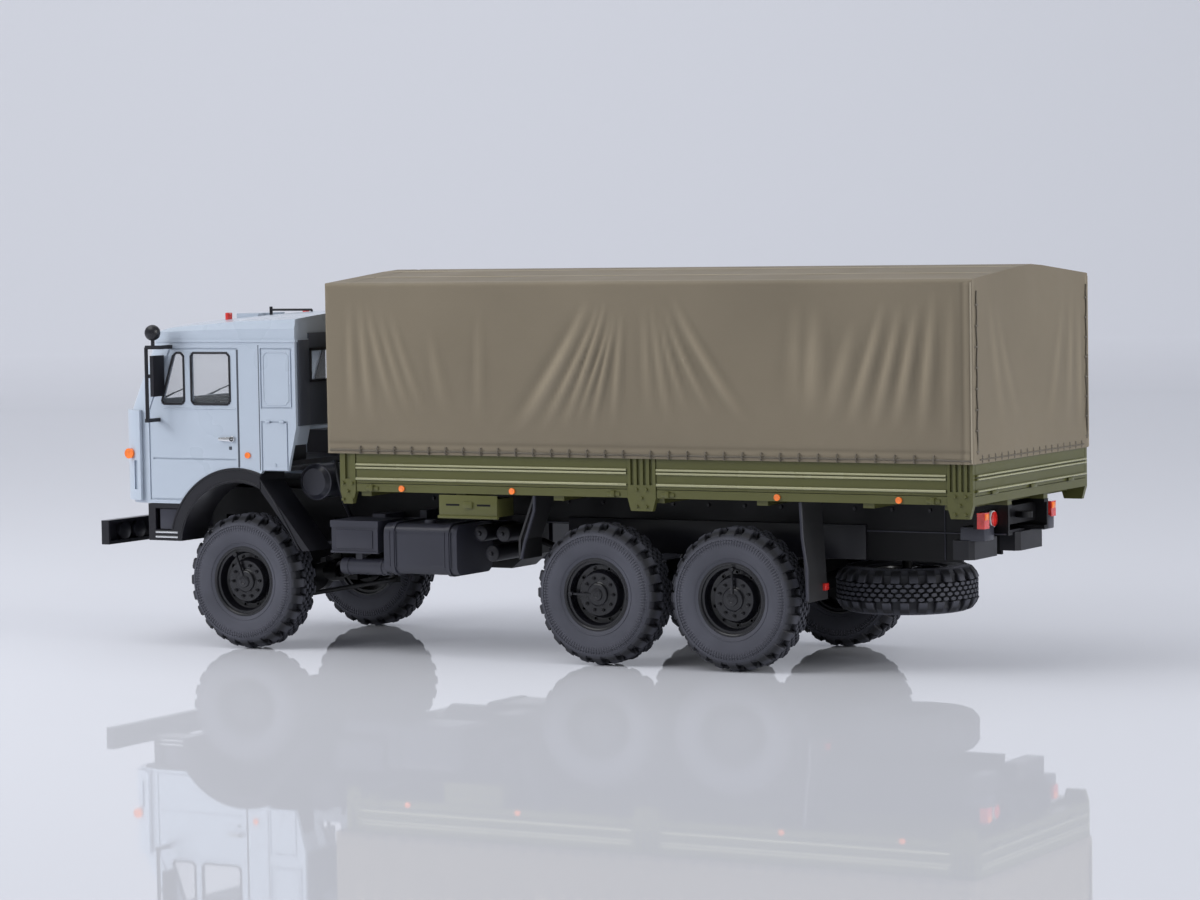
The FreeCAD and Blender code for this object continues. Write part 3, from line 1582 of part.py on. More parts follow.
def bed_floor():
    """The floor on its bearers and sills, with the rails round its edge that the boards stand on."""
    thickness = s.board_thickness
    slab = block((bed_tail, bed_front), wide(board_inside), (bed_floor_bottom, bed_floor_top))
    ends = [block(run, wide(board_inside), (bed_floor_bottom, edge_rail_top))
            for run in ((bed_tail, bed_tail + thickness), (bed_front - thickness, bed_front))]
    edges = [both(block(run, (board_inside, board_outside), (bed_floor_bottom, edge_rail_top)))
             for run in board_runs]
    sill = block((bed_tail + thickness, bed_front - thickness), (rail_inside, s.rail_outside),
                 (rail_top, bed_floor_bottom))
    bearers = []
    for share in BEARER_SHARES:
        x = bed_front - (bed_front - bed_rear) * share
        bearers.append(block((x - s.bearer_width / 2, x + s.bearer_width / 2), wide(board_inside),
                             (bed_floor_bottom - s.bearer_height, bed_floor_bottom)))
    node("bed_floor", fused(slab, *ends, *edges, sill, mirrored(sill), *bearers))


def board_section(face, outward):
    """A drop side's section with its pressed ridges: (distance, height) pairs, facing outward from the face."""
    back = face - s.board_thickness * outward
    ridge = face + s.board_ridge * outward
    section = [(back, board_bottom), (face, board_bottom)]
    for rise, height in ((s.ridge_low, s.ridge_low_height), (s.ridge_high, s.ridge_high_height),
                         (s.ridge_high + s.ridge_pitch, s.ridge_high_height)):
        low = board_bottom + rise
        section += [(face, low), (ridge, low), (ridge, low + height), (face, low + height)]
    return section + [(face, board_top), (back, board_top)]


def post(run, ribs):
    """A ribbed stake, with the tapered plate that bolts it to the floor's edge."""
    face = post_outside - s.post_rib
    pitch = (run[1] - run[0]) / (ribs - 1 + RIB_SHARE)
    width = pitch * RIB_SHARE
    points = [(run[1], board_inside), (run[0], board_inside)]
    for i in range(ribs):
        start = run[0] + pitch * i
        points += [(start, post_outside), (start + width, post_outside)]
        if i < ribs - 1:
            points += [(start + width, face), (start + pitch, face)]
    stake = prism("xy", points, plate_top, board_top)
    taper = s.post_plate_taper
    plate = prism("xz", [
        (run[0] + taper, post_bottom),
        (run[1] - taper, post_bottom),
        (run[1], bed_floor_bottom),
        (run[1], plate_top),
        (run[0], plate_top),
        (run[0], bed_floor_bottom),
    ], board_inside, post_outside)
    return fused(stake, plate)


def bed_sides():
    node("bed_posts", both(group(post(front_post, 2), post(middle_post, 5), post(rear_post, 5))))
    pair("side_boards", group(*[prism("yz", board_section(board_outside, 1), *run) for run in board_runs]))
    ends = wide(board_inside - s.fit_gap)
    node("head_board", block((bed_front - s.board_thickness, bed_front), ends, (board_bottom, board_top)))
    node("tail_board", prism("xz", board_section(bed_tail, -1), *ends))


tilt_bottom = board_top - s.tilt_lap
tilt_eave = tilt_bottom + s.tilt_side
tilt_ridge = tilt_eave + s.tilt_gable


def tilt_section(inset, bottom):
    half = half_width - inset
    return [
        (-half, bottom),
        (half, bottom),
        (half, tilt_eave - inset),
        (s.tilt_flat, tilt_ridge - s.tilt_flat_drop - inset),
        (zero, tilt_ridge - inset),
        (-s.tilt_flat, tilt_ridge - s.tilt_flat_drop - inset),
        (-half, tilt_eave - inset),
    ]


def tilt():
    front = bed_front + s.tilt_reach
    wall = s.tilt_wall
    outer = prism("yz", tilt_section(zero, tilt_bottom), bed_rear, front)
    inner = prism("yz", tilt_section(wall, tilt_bottom - wall), bed_rear + wall, front - wall)
    node("tilt", cut(outer, inner))


# Rear end, flaps and spare wheel

spare_x = bed_rear + s.spare_reach
carrier_bottom = rail_bottom - s.carrier_drop


def rear_end():
    rear = bed_rear + s.buffer_setback
    front = rear + s.buffer_depth
    top = rail_bottom - s.buffer_drop
    inner = s.rail_outside - s.buffer_lap
    outer = half_width - s.buffer_inset
    pad = prism("xy", [
        (front, inner),
        (front, outer),
        (rear + s.buffer_corner, outer),
        (rear, outer - s.buffer_corner),
        (rear, inner + s.buffer_corner),
        (rear + s.buffer_corner, inner),
    ], top - s.buffer_height, top)
    beam = block((rear + s.buffer_corner, front), wide(s.rail_outside), (top, rail_bottom))
    node("rear_buffers", fused(beam, pad, mirrored(pad)))
    z = rail_top - s.tow_drop
    x = rail_rear + s.tow_radius / 2
    half = s.tow_thickness / 2
    ring = rod("z", s.tow_radius, z - half, z + half, (x, zero))
    last_member = rail_nose - (rail_nose - rail_rear) * CROSS_MEMBER_SHARES[-1] - s.cross_width / 2
    shank = block((x, last_member), wide(s.tow_shank), (z - half, z + half))
    hole = rod("z", s.tow_hole, z - s.tow_thickness, z + s.tow_thickness, (x, zero))
    node("tow_eye", cut(fused(ring, shank), hole))
    box = block((rear_lamp_x - s.rear_lamp_depth, rear_lamp_x),
                (rear_lamp_y - s.rear_lamp_width / 2, rear_lamp_y + s.rear_lamp_width / 2),
                (rear_lamp_z - s.rear_lamp_height / 2, rear_lamp_z + s.rear_lamp_height / 2))
    disc = rod("x", s.round_lamp_radius, rear_lamp_x - s.round_lamp_depth, rear_lamp_x,
               (rear_lamp_y - s.round_lamp_gap, rear_lamp_z))
    node("rear_lamps", group(both(box), both(disc)))


def flaps():
    outer = half_width - s.flap_inset
    sides = (outer - s.flap_width, outer)
    t = s.flap_thickness
    top = middle_axle + s.front_flap_reach
    foot = top + s.front_flap_lean
    knee = rail_bottom - s.front_flap_knee
    bottom = rail_bottom - s.front_flap_drop
    front = prism("xz", [
        (top, bed_floor_bottom),
        (foot, knee),
        (foot, bottom),
        (foot + t, bottom),
        (foot + t, knee),
        (top + t, bed_floor_bottom),
    ], *sides)
    top = rear_axle - s.rear_flap_reach
    foot = top - s.rear_flap_lean
    rear = prism("xz", [
        (top, bed_floor_bottom),
        (foot, axle_height),
        (foot - t, axle_height),
        (top - t, bed_floor_bottom),
    ], *sides)
    node("mud_flaps", group(both(front), both(rear)))


def spare_carrier():
    plate = block((spare_x - s.carrier_tail, spare_x + s.carrier_reach),
                  (s.rail_outside - s.carrier_wall, s.rail_outside), (carrier_bottom, rail_bottom))
    pan = block((spare_x - s.cross_width, spare_x + s.cross_width), wide(s.rail_outside),
                (carrier_bottom, carrier_bottom + s.carrier_wall))
    place = (spare_x, zero)
    bolt = rod("z", s.carrier_bolt_radius, carrier_bottom - s.spare_gap - tyre_half, carrier_bottom, place)
    nut = new("Part::Prism", "CarrierNut")
    nut.Polygon = 6
    bind(nut, Circumradius=s.carrier_nut_radius, Height=s.carrier_wall)
    put(nut, spare_x, zero, carrier_bottom + s.carrier_wall)
    node("spare_carrier", fused(plate, mirrored(plate), pan, bolt, nut))


def build():
    wheels()
    driven_axles()
    front_axle_beam()
    pair("knuckle", knuckle())
    tie_rod()
    frame()
    springs()
    trunnion()
    drive_line()
    cab_shell()
    cab_roof()
    glazing()
    cab_interior()
    steering_wheel()
    front_panel()
    cab_fittings()
    node("mirrors", both(mirror()))
    roof_fittings()
    mudguards()
    bumper()
    air_cleaner()
    battery_box()
    node("fuel_tanks", both(tank()))
    air_receivers()
    muffler()
    toolbox()
    bed_floor()
    bed_sides()
    tilt()
    rear_end()
    flaps()
    spare_carrier()


def check():
    faults = [obj.Name for obj in doc.Objects if "Invalid" in obj.State or "Error" in obj.State]
    for label, obj in nodes.items():
        shape = obj.Shape
        if shape.isNull() or not shape.isValid() or not shape.Solids:
            faults.append(label)
    if faults:
        raise RuntimeError("no sound shape: " + ", ".join(faults))


def export():
    os.makedirs("parts", exist_ok=True)
    for label, obj in nodes.items():
        obj.Label = label
        obj.Shape.exportStep(f"parts/{label}.step")


build()
doc.recompute()
check()
export()
print(len(nodes), "nodes")
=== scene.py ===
"""The finished look of a 1:43 six-wheel cargo truck model: paint, tyres, tilt, lamps and small fittings.

Every piece is shaped in millimetres, in the truck's own frame, and settled in metres:
X runs forward, Y to the truck's left and Z up.
"""
import json
import math

import bmesh
import bpy
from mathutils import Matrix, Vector


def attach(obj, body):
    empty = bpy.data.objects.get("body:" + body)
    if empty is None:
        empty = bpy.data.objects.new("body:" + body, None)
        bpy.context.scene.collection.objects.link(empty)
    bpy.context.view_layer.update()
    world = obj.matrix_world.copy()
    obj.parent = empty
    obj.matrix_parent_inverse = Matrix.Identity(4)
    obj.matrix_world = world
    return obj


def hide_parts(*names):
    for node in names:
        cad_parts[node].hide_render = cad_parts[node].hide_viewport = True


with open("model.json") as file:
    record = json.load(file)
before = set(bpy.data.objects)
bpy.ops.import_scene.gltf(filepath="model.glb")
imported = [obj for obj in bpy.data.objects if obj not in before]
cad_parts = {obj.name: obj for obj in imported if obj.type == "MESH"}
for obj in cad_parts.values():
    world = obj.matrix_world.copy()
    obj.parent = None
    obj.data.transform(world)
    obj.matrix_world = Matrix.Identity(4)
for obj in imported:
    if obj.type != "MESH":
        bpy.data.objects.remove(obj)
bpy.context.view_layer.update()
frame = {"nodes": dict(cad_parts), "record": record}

MM = 0.001
cad = frame["nodes"]

# Places that the truck's pieces share, in millimetres
AXLES = {"front": 66.8, "middle": -19.0, "rear": -49.7}
HALF_TRACK = 24.05
WHEEL_HEIGHT = 14.4
SPARE_PLACE = (-75.0, 0.0, 15.35)
BODY_SIDE = 29.05
TILT_REAR = -102.6
TILT_FRONT = 44.2


# Holding, opening, picking and settling a piece

def shut():
    bpy.ops.object.mode_set(mode="OBJECT")


def pick_all():
    bpy.ops.mesh.select_all(action="SELECT")


def let_go():
    if bpy.context.object and bpy.context.object.mode == "EDIT":
        shut()
    bpy.ops.object.select_all(action="DESELECT")


def hold(*pieces):
    let_go()
    for piece in pieces:
        piece.select_set(True)
    bpy.context.view_layer.objects.active = pieces[0]
    return pieces[0]


def open_up(piece):
    hold(piece)
    bpy.ops.object.mode_set(mode="EDIT")
    bpy.ops.mesh.select_all(action="DESELECT")


def pick(piece, rule, kind="FACE"):
    """Selects the open piece's faces, edges or corners whose middle and direction suit the rule."""
    bpy.ops.mesh.select_mode(type=kind)
    bpy.ops.mesh.select_all(action="DESELECT")
    mesh = bmesh.from_edit_mesh(piece.data)
    if kind == "FACE":
        chosen = [face for face in mesh.faces if rule(face.calc_center_median(), face.normal)]
    elif kind == "EDGE":
        chosen = [edge for edge in mesh.edges
                  if rule((edge.verts[0].co + edge.verts[1].co) / 2,
                          (edge.verts[1].co - edge.verts[0].co).normalized())]
    else:
        chosen = [corner for corner in mesh.verts if rule(corner.co, corner.normal)]
    for part in chosen:
        part.select_set(True)
    mesh.select_flush_mode()
    bmesh.update_edit_mesh(piece.data)
    return len(chosen)


def raise_by(height):
    """Moves what is picked upward."""
    bpy.ops.transform.translate(value=(0, 0, height))


def apply_place(piece):
    hold(piece)
    bpy.ops.object.transform_apply(location=True, rotation=True, scale=True)
    return piece


def in_radians(angles):
    return [math.radians(angle) for angle in angles]


def settle(piece, name, finish, body="chassis", at=(0, 0, 0), turn=(0, 0, 0), smooth=32):
    """Sets a piece in its place in metres, with its finish, on the body that carries it."""
    let_go()
    piece.location = at
    piece.rotation_euler = in_radians(turn)
    apply_place(piece)
    piece.scale = (MM, MM, MM)
    apply_place(piece)
    if smooth:
        bpy.ops.object.shade_smooth_by_angle(angle=math.radians(smooth))
    piece.name = name
    piece.data.name = name
    if finish:
        piece.data.materials.clear()
        piece.data.materials.append(finish)
    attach(piece, body)
    return piece


def another(piece):
    """A copy of a piece, with its own mesh."""
    copy = piece.copy()
    copy.data = piece.data.copy()
    bpy.context.scene.collection.objects.link(copy)
    return copy


def together(*pieces):
    hold(*pieces)
    if len(pieces) > 1:
        bpy.ops.object.join()
    return pieces[0]


# First shapes

def block(x, y, z):
    let_go()
    bpy.ops.mesh.primitive_cube_add(size=1, location=[(a + b) / 2 for a, b in (x, y, z)])
    piece = bpy.context.object
    piece.scale = [b - a for a, b in (x, y, z)]
    return apply_place(piece)


LYING = {"x": (0, math.pi / 2, 0), "y": (-math.pi / 2, 0, 0), "z": (0, 0, 0)}


def drum(axis, radius, low, high, at=(0, 0), sides=32):
    let_go()
    place = list(at)
    place.insert("xyz".index(axis), (low + high) / 2)
    bpy.ops.mesh.primitive_cylinder_add(vertices=sides, radius=radius, depth=high - low, location=place,
                                        rotation=LYING[axis])
    return apply_place(bpy.context.object)


def soften(piece, width, steps=2, angle=35):
    """Rounds a piece's sharp edges."""
    hold(piece)
    edges = piece.modifiers.new("Round edges", "BEVEL")
    edges.width = width
    edges.segments = steps
    edges.limit_method = "ANGLE"
    edges.angle_limit = math.radians(angle)
    bpy.ops.object.modifier_apply(modifier=edges.name)
    return piece


def draw_on(piece, start, stations, side, axis="y", at=(0, 0)):
    """From a round end face of (radius, reach), draws the form on through more of them, as on a lathe."""
    index = "xyz".index(axis)
    middle = list(at)
    middle.insert(index, 0)
    radius, reach = start
    open_up(piece)
    pick(piece, lambda place, normal: normal[index] * side > 0.99 and abs(place[index] - reach * side) < 0.01)
    for next_radius, next_reach in stations:
        step = [0, 0, 0]
        step[index] = (next_reach - reach) * side
        bpy.ops.mesh.extrude_region_move(TRANSFORM_OT_translate={"value": step})
        ratio = [next_radius / radius] * 3
        ratio[index] = 1
        centre = list(middle)
        centre[index] = next_reach * side
        bpy.ops.transform.resize(value=ratio, center_override=centre)
        radius, reach = next_radius, next_reach
    shut()
    return piece


def ring_of(piece, count, axis=(0, 1, 0), centre=(0, 0, 0)):
    """Repeats all of a piece round an axis."""
    open_up(piece)
    pick_all()
    bpy.ops.mesh.spin(steps=count - 1, dupli=True, angle=math.radians(360 * (count - 1) / count), center=centre,
                      axis=axis)
    shut()
    return piece


# Finishes

def feed(tree, node, inputs):
    """Gives each of a node's inputs a plain value, or another node's output."""
    for label, value in inputs.items():
        if isinstance(value, bpy.types.NodeSocket):
            tree.links.new(value, node.inputs[label])
        else:
            node.inputs[label].default_value = value


def shader_node(tree, kind, inputs, **settings):
    """Adds a node, sets its options, then feeds it."""
    node = tree.nodes.new("ShaderNode" + kind)
    for name, value in settings.items():
        setattr(node, name, value)
    feed(tree, node, inputs)
    return node


def ranged(tree, value, source, target=(0.0, 1.0)):
    """A value carried from one range onto another, and held at its ends."""
    labels = ("Value", "From Min", "From Max", "To Min", "To Max")
    return shader_node(tree, "MapRange", dict(zip(labels, (value, *source, *target)))).outputs["Result"]


def reckon(tree, operation, *values):
    return shader_node(tree, "Math", dict(enumerate(values)), operation=operation).outputs["Value"]


def new_material(name, inputs):
    """A new material, its node tree, and its main shader with these inputs."""
    material = bpy.data.materials.new(name)
    material.use_nodes = True
    shader = material.node_tree.nodes["Principled BSDF"]
    feed(material.node_tree, shader, inputs)
    return material, material.node_tree, shader


def group_of(name, inputs, outputs):
    """A node group with these sockets, each given as (label, kind)."""
    group = bpy.data.node_groups.new(name, "ShaderNodeTree")
    for way, sockets in (("INPUT", inputs), ("OUTPUT", outputs)):
        for label, kind in sockets:
            group.interface.new_socket(name=label, in_out=way, socket_type="NodeSocket" + kind)
    return group, group.nodes.new("NodeGroupInput").outputs, group.nodes.new("NodeGroupOutput")


# The part of a noise's values that most of the surface shows
NOISE_RANGE = (0.3, 0.7)
SPECK_SCALE = 420
SHINE_PATCH_SCALE = 90


def mottled_colour():
    """Two near tones of one colour, drifting slowly over the surface, with sparse fine specks."""
    group, given, result = group_of("Mottled colour", [
        ("Vector", "Vector"),
        ("Low tone", "Color"),
        ("High tone", "Color"),
        ("Speck tone", "Color"),
        ("Cloud scale", "Float"),
        ("Speck share", "Float"),
    ], [("Colour", "Color")])
    cloud = shader_node(group, "TexNoise", {"Vector": given["Vector"], "Scale": given["Cloud scale"], "Detail": 4})
    tones = shader_node(group, "Mix", {
        "Factor": ranged(group, cloud.outputs["Fac"], NOISE_RANGE), "A": given["Low tone"], "B": given["High tone"],
    }, data_type="RGBA")
    specks = shader_node(group, "TexVoronoi", {"Vector": given["Vector"], "Scale": SPECK_SCALE})
    lint = shader_node(group, "Mix", {
        "Factor": reckon(group, "LESS_THAN", specks.outputs["Distance"], given["Speck share"]),
        "A": tones.outputs["Result"], "B": given["Speck tone"],
    }, data_type="RGBA")
    feed(group, result, {"Colour": lint.outputs["Result"]})
    return group


def fine_grain():
    """The height of a moulded or sprayed skin, and a roughness that varies with it."""
    group, given, result = group_of("Fine grain", [
        ("Vector", "Vector"),
        ("Grain scale", "Float"),
        ("Low roughness", "Float"),
        ("High roughness", "Float"),
    ], [("Height", "Float"), ("Roughness", "Float")])
    grain = shader_node(group, "TexNoise", {"Vector": given["Vector"], "Scale": given["Grain scale"], "Detail": 2})
    patches = shader_node(group, "TexNoise", {"Vector": given["Vector"], "Scale": SHINE_PATCH_SCALE})
    rough = ranged(group, patches.outputs["Fac"], NOISE_RANGE, (given["Low roughness"], given["High roughness"]))
    feed(group, result, {"Height": grain.outputs["Fac"], "Roughness": rough})
    return group


MOTTLE = mottled_colour()
GRAIN = fine_grain()


def tone(colour, share):
    return tuple(min(channel * share, 1) for channel in colour) + (1,)


# How much the roughness drifts to either side of its middle
ROUGHNESS_DRIFT = 0.06


def skin(name, colour, roughness, grain_scale=2200, grain_depth=0.01, spread=0.06, cloud=60, specks=0.0,
         speck_tone=None, coat=0.0, metallic=0.0, specular=0.5):
    """A moulded or sprayed surface: drifting tone, lint, fine grain and an uneven shine."""
    material, tree, shader = new_material(name, {
        "Metallic": metallic, "Coat Weight": coat, "Coat Roughness": 0.12, "Specular IOR Level": specular,
    })
    place = shader_node(tree, "TexCoord", {}).outputs["Object"]
    colours = shader_node(tree, "Group", {
        "Vector": place, "Low tone": tone(colour, 1 - spread), "High tone": tone(colour, 1 + spread),
        "Speck tone": tone(speck_tone or colour, 1), "Cloud scale": cloud, "Speck share": specks,
    }, node_tree=MOTTLE)
    surface = shader_node(tree, "Group", {
        "Vector": place, "Grain scale": grain_scale, "Low roughness": max(roughness - ROUGHNESS_DRIFT, 0),
        "High roughness": roughness + ROUGHNESS_DRIFT,
    }, node_tree=GRAIN)
    bump = shader_node(tree, "Bump", {
        "Strength": 0.5, "Distance": grain_depth * MM, "Height": surface.outputs["Height"],
    })
    feed(tree, shader, {
        "Base Color": colours.outputs["Colour"], "Roughness": surface.outputs["Roughness"],
        "Normal": bump.outputs["Normal"],
    })
    return material


def shade_skin(tree, share):
    """Scales a skin's colour by a share that varies over the surface."""
    shade = shader_node(tree, "VectorMath", {"Vector": tree.nodes["Group"].outputs["Colour"], "Scale": share},
                        operation="SCALE")
    feed(tree, tree.nodes["Principled BSDF"], {"Base Color": shade.outputs["Vector"]})


def emboss_skin(tree, height, strength, distance):
    """Lays a second relief over a skin's fine grain."""
    relief = shader_node(tree, "Bump", {
        "Strength": strength, "Distance": distance * MM, "Height": height,
        "Normal": tree.nodes["Bump"].outputs["Normal"],
    })
    feed(tree, tree.nodes["Principled BSDF"], {"Normal": relief.outputs["Normal"]})


def clear_pane():
    """The moulded window pieces: clear, faintly grey, brighter where they are seen edge on."""
    material, tree, shader = new_material("Clear window plastic", {
        "Roughness": 0.04, "IOR": 1.49, "Specular IOR Level": 0.35,
    })
    facing = shader_node(tree, "LayerWeight", {"Blend": 0.25}).outputs["Facing"]
    colours = shader_node(tree, "Group", {
        "Vector": shader_node(tree, "TexCoord", {}).outputs["Object"], "Low tone": (0.52, 0.56, 0.60, 1),
        "High tone": (0.60, 0.63, 0.67, 1), "Cloud scale": 30, "Speck share": 0,
    }, node_tree=MOTTLE)
    feed(tree, shader, {
        "Alpha": ranged(tree, facing, (0.0, 1.0), (0.05, 0.30)), "Base Color": colours.outputs["Colour"],
    })
    return material


SIDEWALL_RIBS = 120


def ribbed_rubber():
    """Tyre rubber on the tyre's own wrap: painted shade between the lugs, a painted highlight on the lug tops, with
    ribs round the sidewall.
    """
    material = skin("Tyre rubber", (0.068, 0.070, 0.088), 0.60, grain_scale=2500, grain_depth=0.02, spread=0.12,
                    cloud=120, specks=0.008, speck_tone=(0.14, 0.14, 0.15), specular=0.35)
    tree = material.node_tree
    wrap = shader_node(tree, "UVMap", {}, uv_map="Wrap")
    apart = shader_node(tree, "SeparateXYZ", {"Vector": wrap.outputs["UV"]}).outputs
    turn, radius = apart["X"], apart["Y"]
    # Painted shade darkens the tread between the lugs, and a painted highlight lightens the lug tops.
    painted_shade_between_lugs = ranged(tree, radius, (12.15, 13.2), (1.0, 0.22))
    painted_highlight_on_lugs = ranged(tree, radius, (13.5, 14.15), (0.15, 0.8))
    shade_skin(tree, reckon(tree, "MAXIMUM", painted_shade_between_lugs, painted_highlight_on_lugs))
    wave = reckon(tree, "SINE", reckon(tree, "MULTIPLY", turn, 2 * math.pi * SIDEWALL_RIBS))
    band = reckon(tree, "MULTIPLY", ranged(tree, radius, (10.6, 11.0)), ranged(tree, radius, (12.0, 11.9)))
    emboss_skin(tree, reckon(tree, "MULTIPLY", wave, band), 0.7, 0.16)
    return material


def woven_tilt():
    """The tilt's moulded canvas: a fine weave, faint soiling, a flat shine, and its folds' painted light and shade:
    painted shade in their hollows and grooves, painted highlight on their crests.
    """
    material = skin("Moulded tilt canvas", (0.205, 0.173, 0.125), 0.62, grain_scale=1500, grain_depth=0.03,
                    spread=0.07, cloud=26, specks=0.012, speck_tone=(0.30, 0.27, 0.22), specular=0.35)
    tree = material.node_tree
    # The Fold value is painted light and shade: it darkens the canvas in fold hollows and grooves and lightens it on
    # fold crests.
    fold = shader_node(tree, "Attribute", {}, attribute_name="Fold").outputs["Fac"]
    shade_skin(tree, ranged(tree, fold, (-0.4, 0.8), (0.66, 1.42)))
    place = tree.nodes["Texture Coordinate"].outputs["Object"]
    threads = [shader_node(tree, "TexWave", {"Vector": place, "Scale": scale, "Distortion": 0.6},
                           bands_direction=way).outputs["Fac"] for way, scale in (("Z", 900), ("DIAGONAL", 700))]
    emboss_skin(tree, reckon(tree, "ADD", *threads), 0.25, 0.012)
    return material


def lamp_lens(name, colour, painted_glow=0.0):
    """A drop of clear lacquer over a bright and uneven colour, which may be given a faint painted emission, as if
    lit, though the model's lamps and reflectors are not lit.
    """
    material = skin(name, colour, 0.18, grain_scale=900, grain_depth=0.03, spread=0.22, cloud=900, coat=1.0)
    if painted_glow:
        nodes = material.node_tree.nodes
        feed(material.node_tree, nodes["Principled BSDF"], {
            "Emission Color": nodes["Group"].outputs["Colour"], "Emission Strength": painted_glow,
        })
    return material


PAINT = skin("Pale blue cab paint", (0.412, 0.470, 0.553), 0.30, grain_scale=1100, grain_depth=0.012, spread=0.012,
             cloud=22, specks=0.006, speck_tone=(0.62, 0.68, 0.76), coat=0.4)
OLIVE = skin("Olive bed paint", (0.090, 0.091, 0.030), 0.34, grain_scale=1600, grain_depth=0.012, spread=0.05,
             cloud=40, specks=0.01, speck_tone=(0.20, 0.21, 0.12), coat=0.15, specular=0.35)
# A lighter copy of the olive paint for the boards' ridges: painted highlight where their tops catch the light.
PAINTED_HIGHLIGHT_OLIVE = skin("Olive ridges with painted highlight", (0.330, 0.325, 0.185), 0.24, grain_scale=1600, spread=0.12, cloud=50,
             coat=0.6)
# A dark colour for painted shadow: in the door gaps and seam, below the door lever, and over the cab's rear wall.
SHADE = skin("Painted shadow strips", (0.060, 0.068, 0.088), 0.5, spread=0.12)
TILT = woven_tilt()
ROPE = skin("Moulded lacing", (0.120, 0.104, 0.080), 0.6, grain_scale=2400, grain_depth=0.03, spread=0.12, cloud=140)
STRIP = skin("Tilt edge strips", (0.300, 0.262, 0.200), 0.55, grain_scale=1500, grain_depth=0.02, spread=0.08)
CHASSIS = skin("Black chassis plastic", (0.004, 0.004, 0.005), 0.40, grain_depth=0.015, spread=0.2, cloud=80,
               specks=0.006, speck_tone=(0.05, 0.05, 0.06), specular=0.28)
BLACK = skin("Black body plastic", (0.010, 0.010, 0.014), 0.34, grain_depth=0.012, spread=0.15, cloud=70,
             specks=0.008, speck_tone=(0.07, 0.07, 0.08), specular=0.45)
GREY = skin("Dark grey tank plastic", (0.030, 0.031, 0.044), 0.34, grain_depth=0.012, spread=0.12, cloud=70,
            specks=0.008, speck_tone=(0.12, 0.12, 0.13))
CAB_INSIDE = skin("Dark cab lining", (0.035, 0.035, 0.042), 0.6, grain_scale=1500, grain_depth=0.02, spread=0.15)
TYRE = ribbed_rubber()
RIM = skin("Satin black rim", (0.008, 0.008, 0.011), 0.28, grain_depth=0.008, spread=0.15,
           specks=0.006, speck_tone=(0.08, 0.08, 0.09), coat=0.2)
RUBBER = skin("Flap rubber", (0.020, 0.020, 0.022), 0.55, grain_scale=1400, grain_depth=0.02, spread=0.15)
PANE = clear_pane()
CHROME = skin("Silvered trim", (0.74, 0.75, 0.77), 0.18, grain_scale=1500, grain_depth=0.004, spread=0.04,
              metallic=0.9)
# The orange and red lenses get a faint painted emission, as if lit.
ORANGE = lamp_lens("Orange lamp lacquer", (0.82, 0.17, 0.012), painted_glow=0.12)
RED = lamp_lens("Red lamp lacquer", (0.55, 0.022, 0.018), painted_glow=0.1)
CLEAR_LAMP = lamp_lens("Clear lamp lens", (0.66, 0.68, 0.71))

FINISHES = {
    "cab_paint": PAINT, "olive": OLIVE, "tilt": TILT, "chassis": CHASSIS, "black_plastic": BLACK, "dark_grey": GREY,
    "interior": CAB_INSIDE, "tyre": TYRE, "rim": RIM, "rubber": RUBBER, "glass": PANE, "chrome": CHROME,
    "lamp_clear": CLEAR_LAMP, "lamp_orange": ORANGE, "lamp_red": RED,
}


def dress_cad_pieces():
    """Gives each piece from the frame the finish of its material slot."""
    for part in frame["record"]["subparts"]:
        piece = cad[part["node"]]
        for place in piece.material_slots:
            place.material = FINISHES[part["material_slot"]]
    for place in cad["air_cleaner"].material_slots:
        place.material = GREY


# Wheels

# The sidewall is an arc: its radius, and its centre as (radius from the axle, reach from the tyre's middle)
SIDEWALL_BULGE = 6.45
BULGE_CENTRE = (10.559, -1.901)
# The casing before its sides are drawn out, and its inner edge
CASING_RADIUS = 13.1
CASING_REACH = 3.3
BEAD_RADIUS = 6.95
# The lugs of one shoulder stand between those of the other
LUGS = 24
LUG_STAGGER = 180 / LUGS
LUG_STEP = 3.05
BLOCK_ROWS = (-1.38, -0.46, 0.46, 1.38)
BLOCKS = 50
BLOCK_STAGGER = 180 / BLOCKS
RIM_RADIUS = 7.41
RIM_REACH = 3.75
WHEEL_NUTS = 10


def sidewall(radius):
    """How far the sidewall stands out at a radius."""
    return BULGE_CENTRE[1] + math.sqrt(SIDEWALL_BULGE ** 2 - (radius - BULGE_CENTRE[0]) ** 2)


def sidewall_stations():
    stations = [(12.5, 4.25)]
    for high, low in ((12.06, 11.92), (11.48, 11.34)):
        stations += [(high + 0.06, sidewall(high)), (high, sidewall(high) + 0.12), (low, sidewall(low) + 0.12),
                     (low - 0.06, sidewall(low))]
    stations += [(radius, sidewall(radius)) for radius in (10.9, 10.3, 9.7, 9.1, 8.6)]
    stations += [(8.3, sidewall(8.3)), (8.26, sidewall(8.26) + 0.1), (8.1, sidewall(8.1) + 0.1),
                 (8.06, sidewall(8.06)), (7.75, sidewall(7.75)), (7.45, 3.75), (7.45, 3.2), (6.9, 3.2)]
    return stations


def tread_lug():
    """One shoulder lug at the top of the tyre, stepped down towards the sidewall."""
    lug = block((-1.02, 1.02), (1.95, 4.2), (12.3, 14.4))
    open_up(lug)
    pick_all()
    bpy.ops.mesh.bisect(plane_co=(0, LUG_STEP, 0), plane_no=(0, 1, 0))
    pick(lug, lambda place, normal: place.z > 14 and abs(place.y - LUG_STEP) < 0.05, "VERT")
    raise_by(-0.5)
    pick(lug, lambda place, normal: place.z > 14 and place.y > 4, "VERT")
    raise_by(-1.45)
    pick(lug, lambda place, normal: place.z > 12.6 and place.y < 3.5, "VERT")
    bpy.ops.transform.resize(value=(0.86, 1, 1), center_override=(0, 0, 13))
    shut()
    return soften(lug, 0.13, 1, 25)


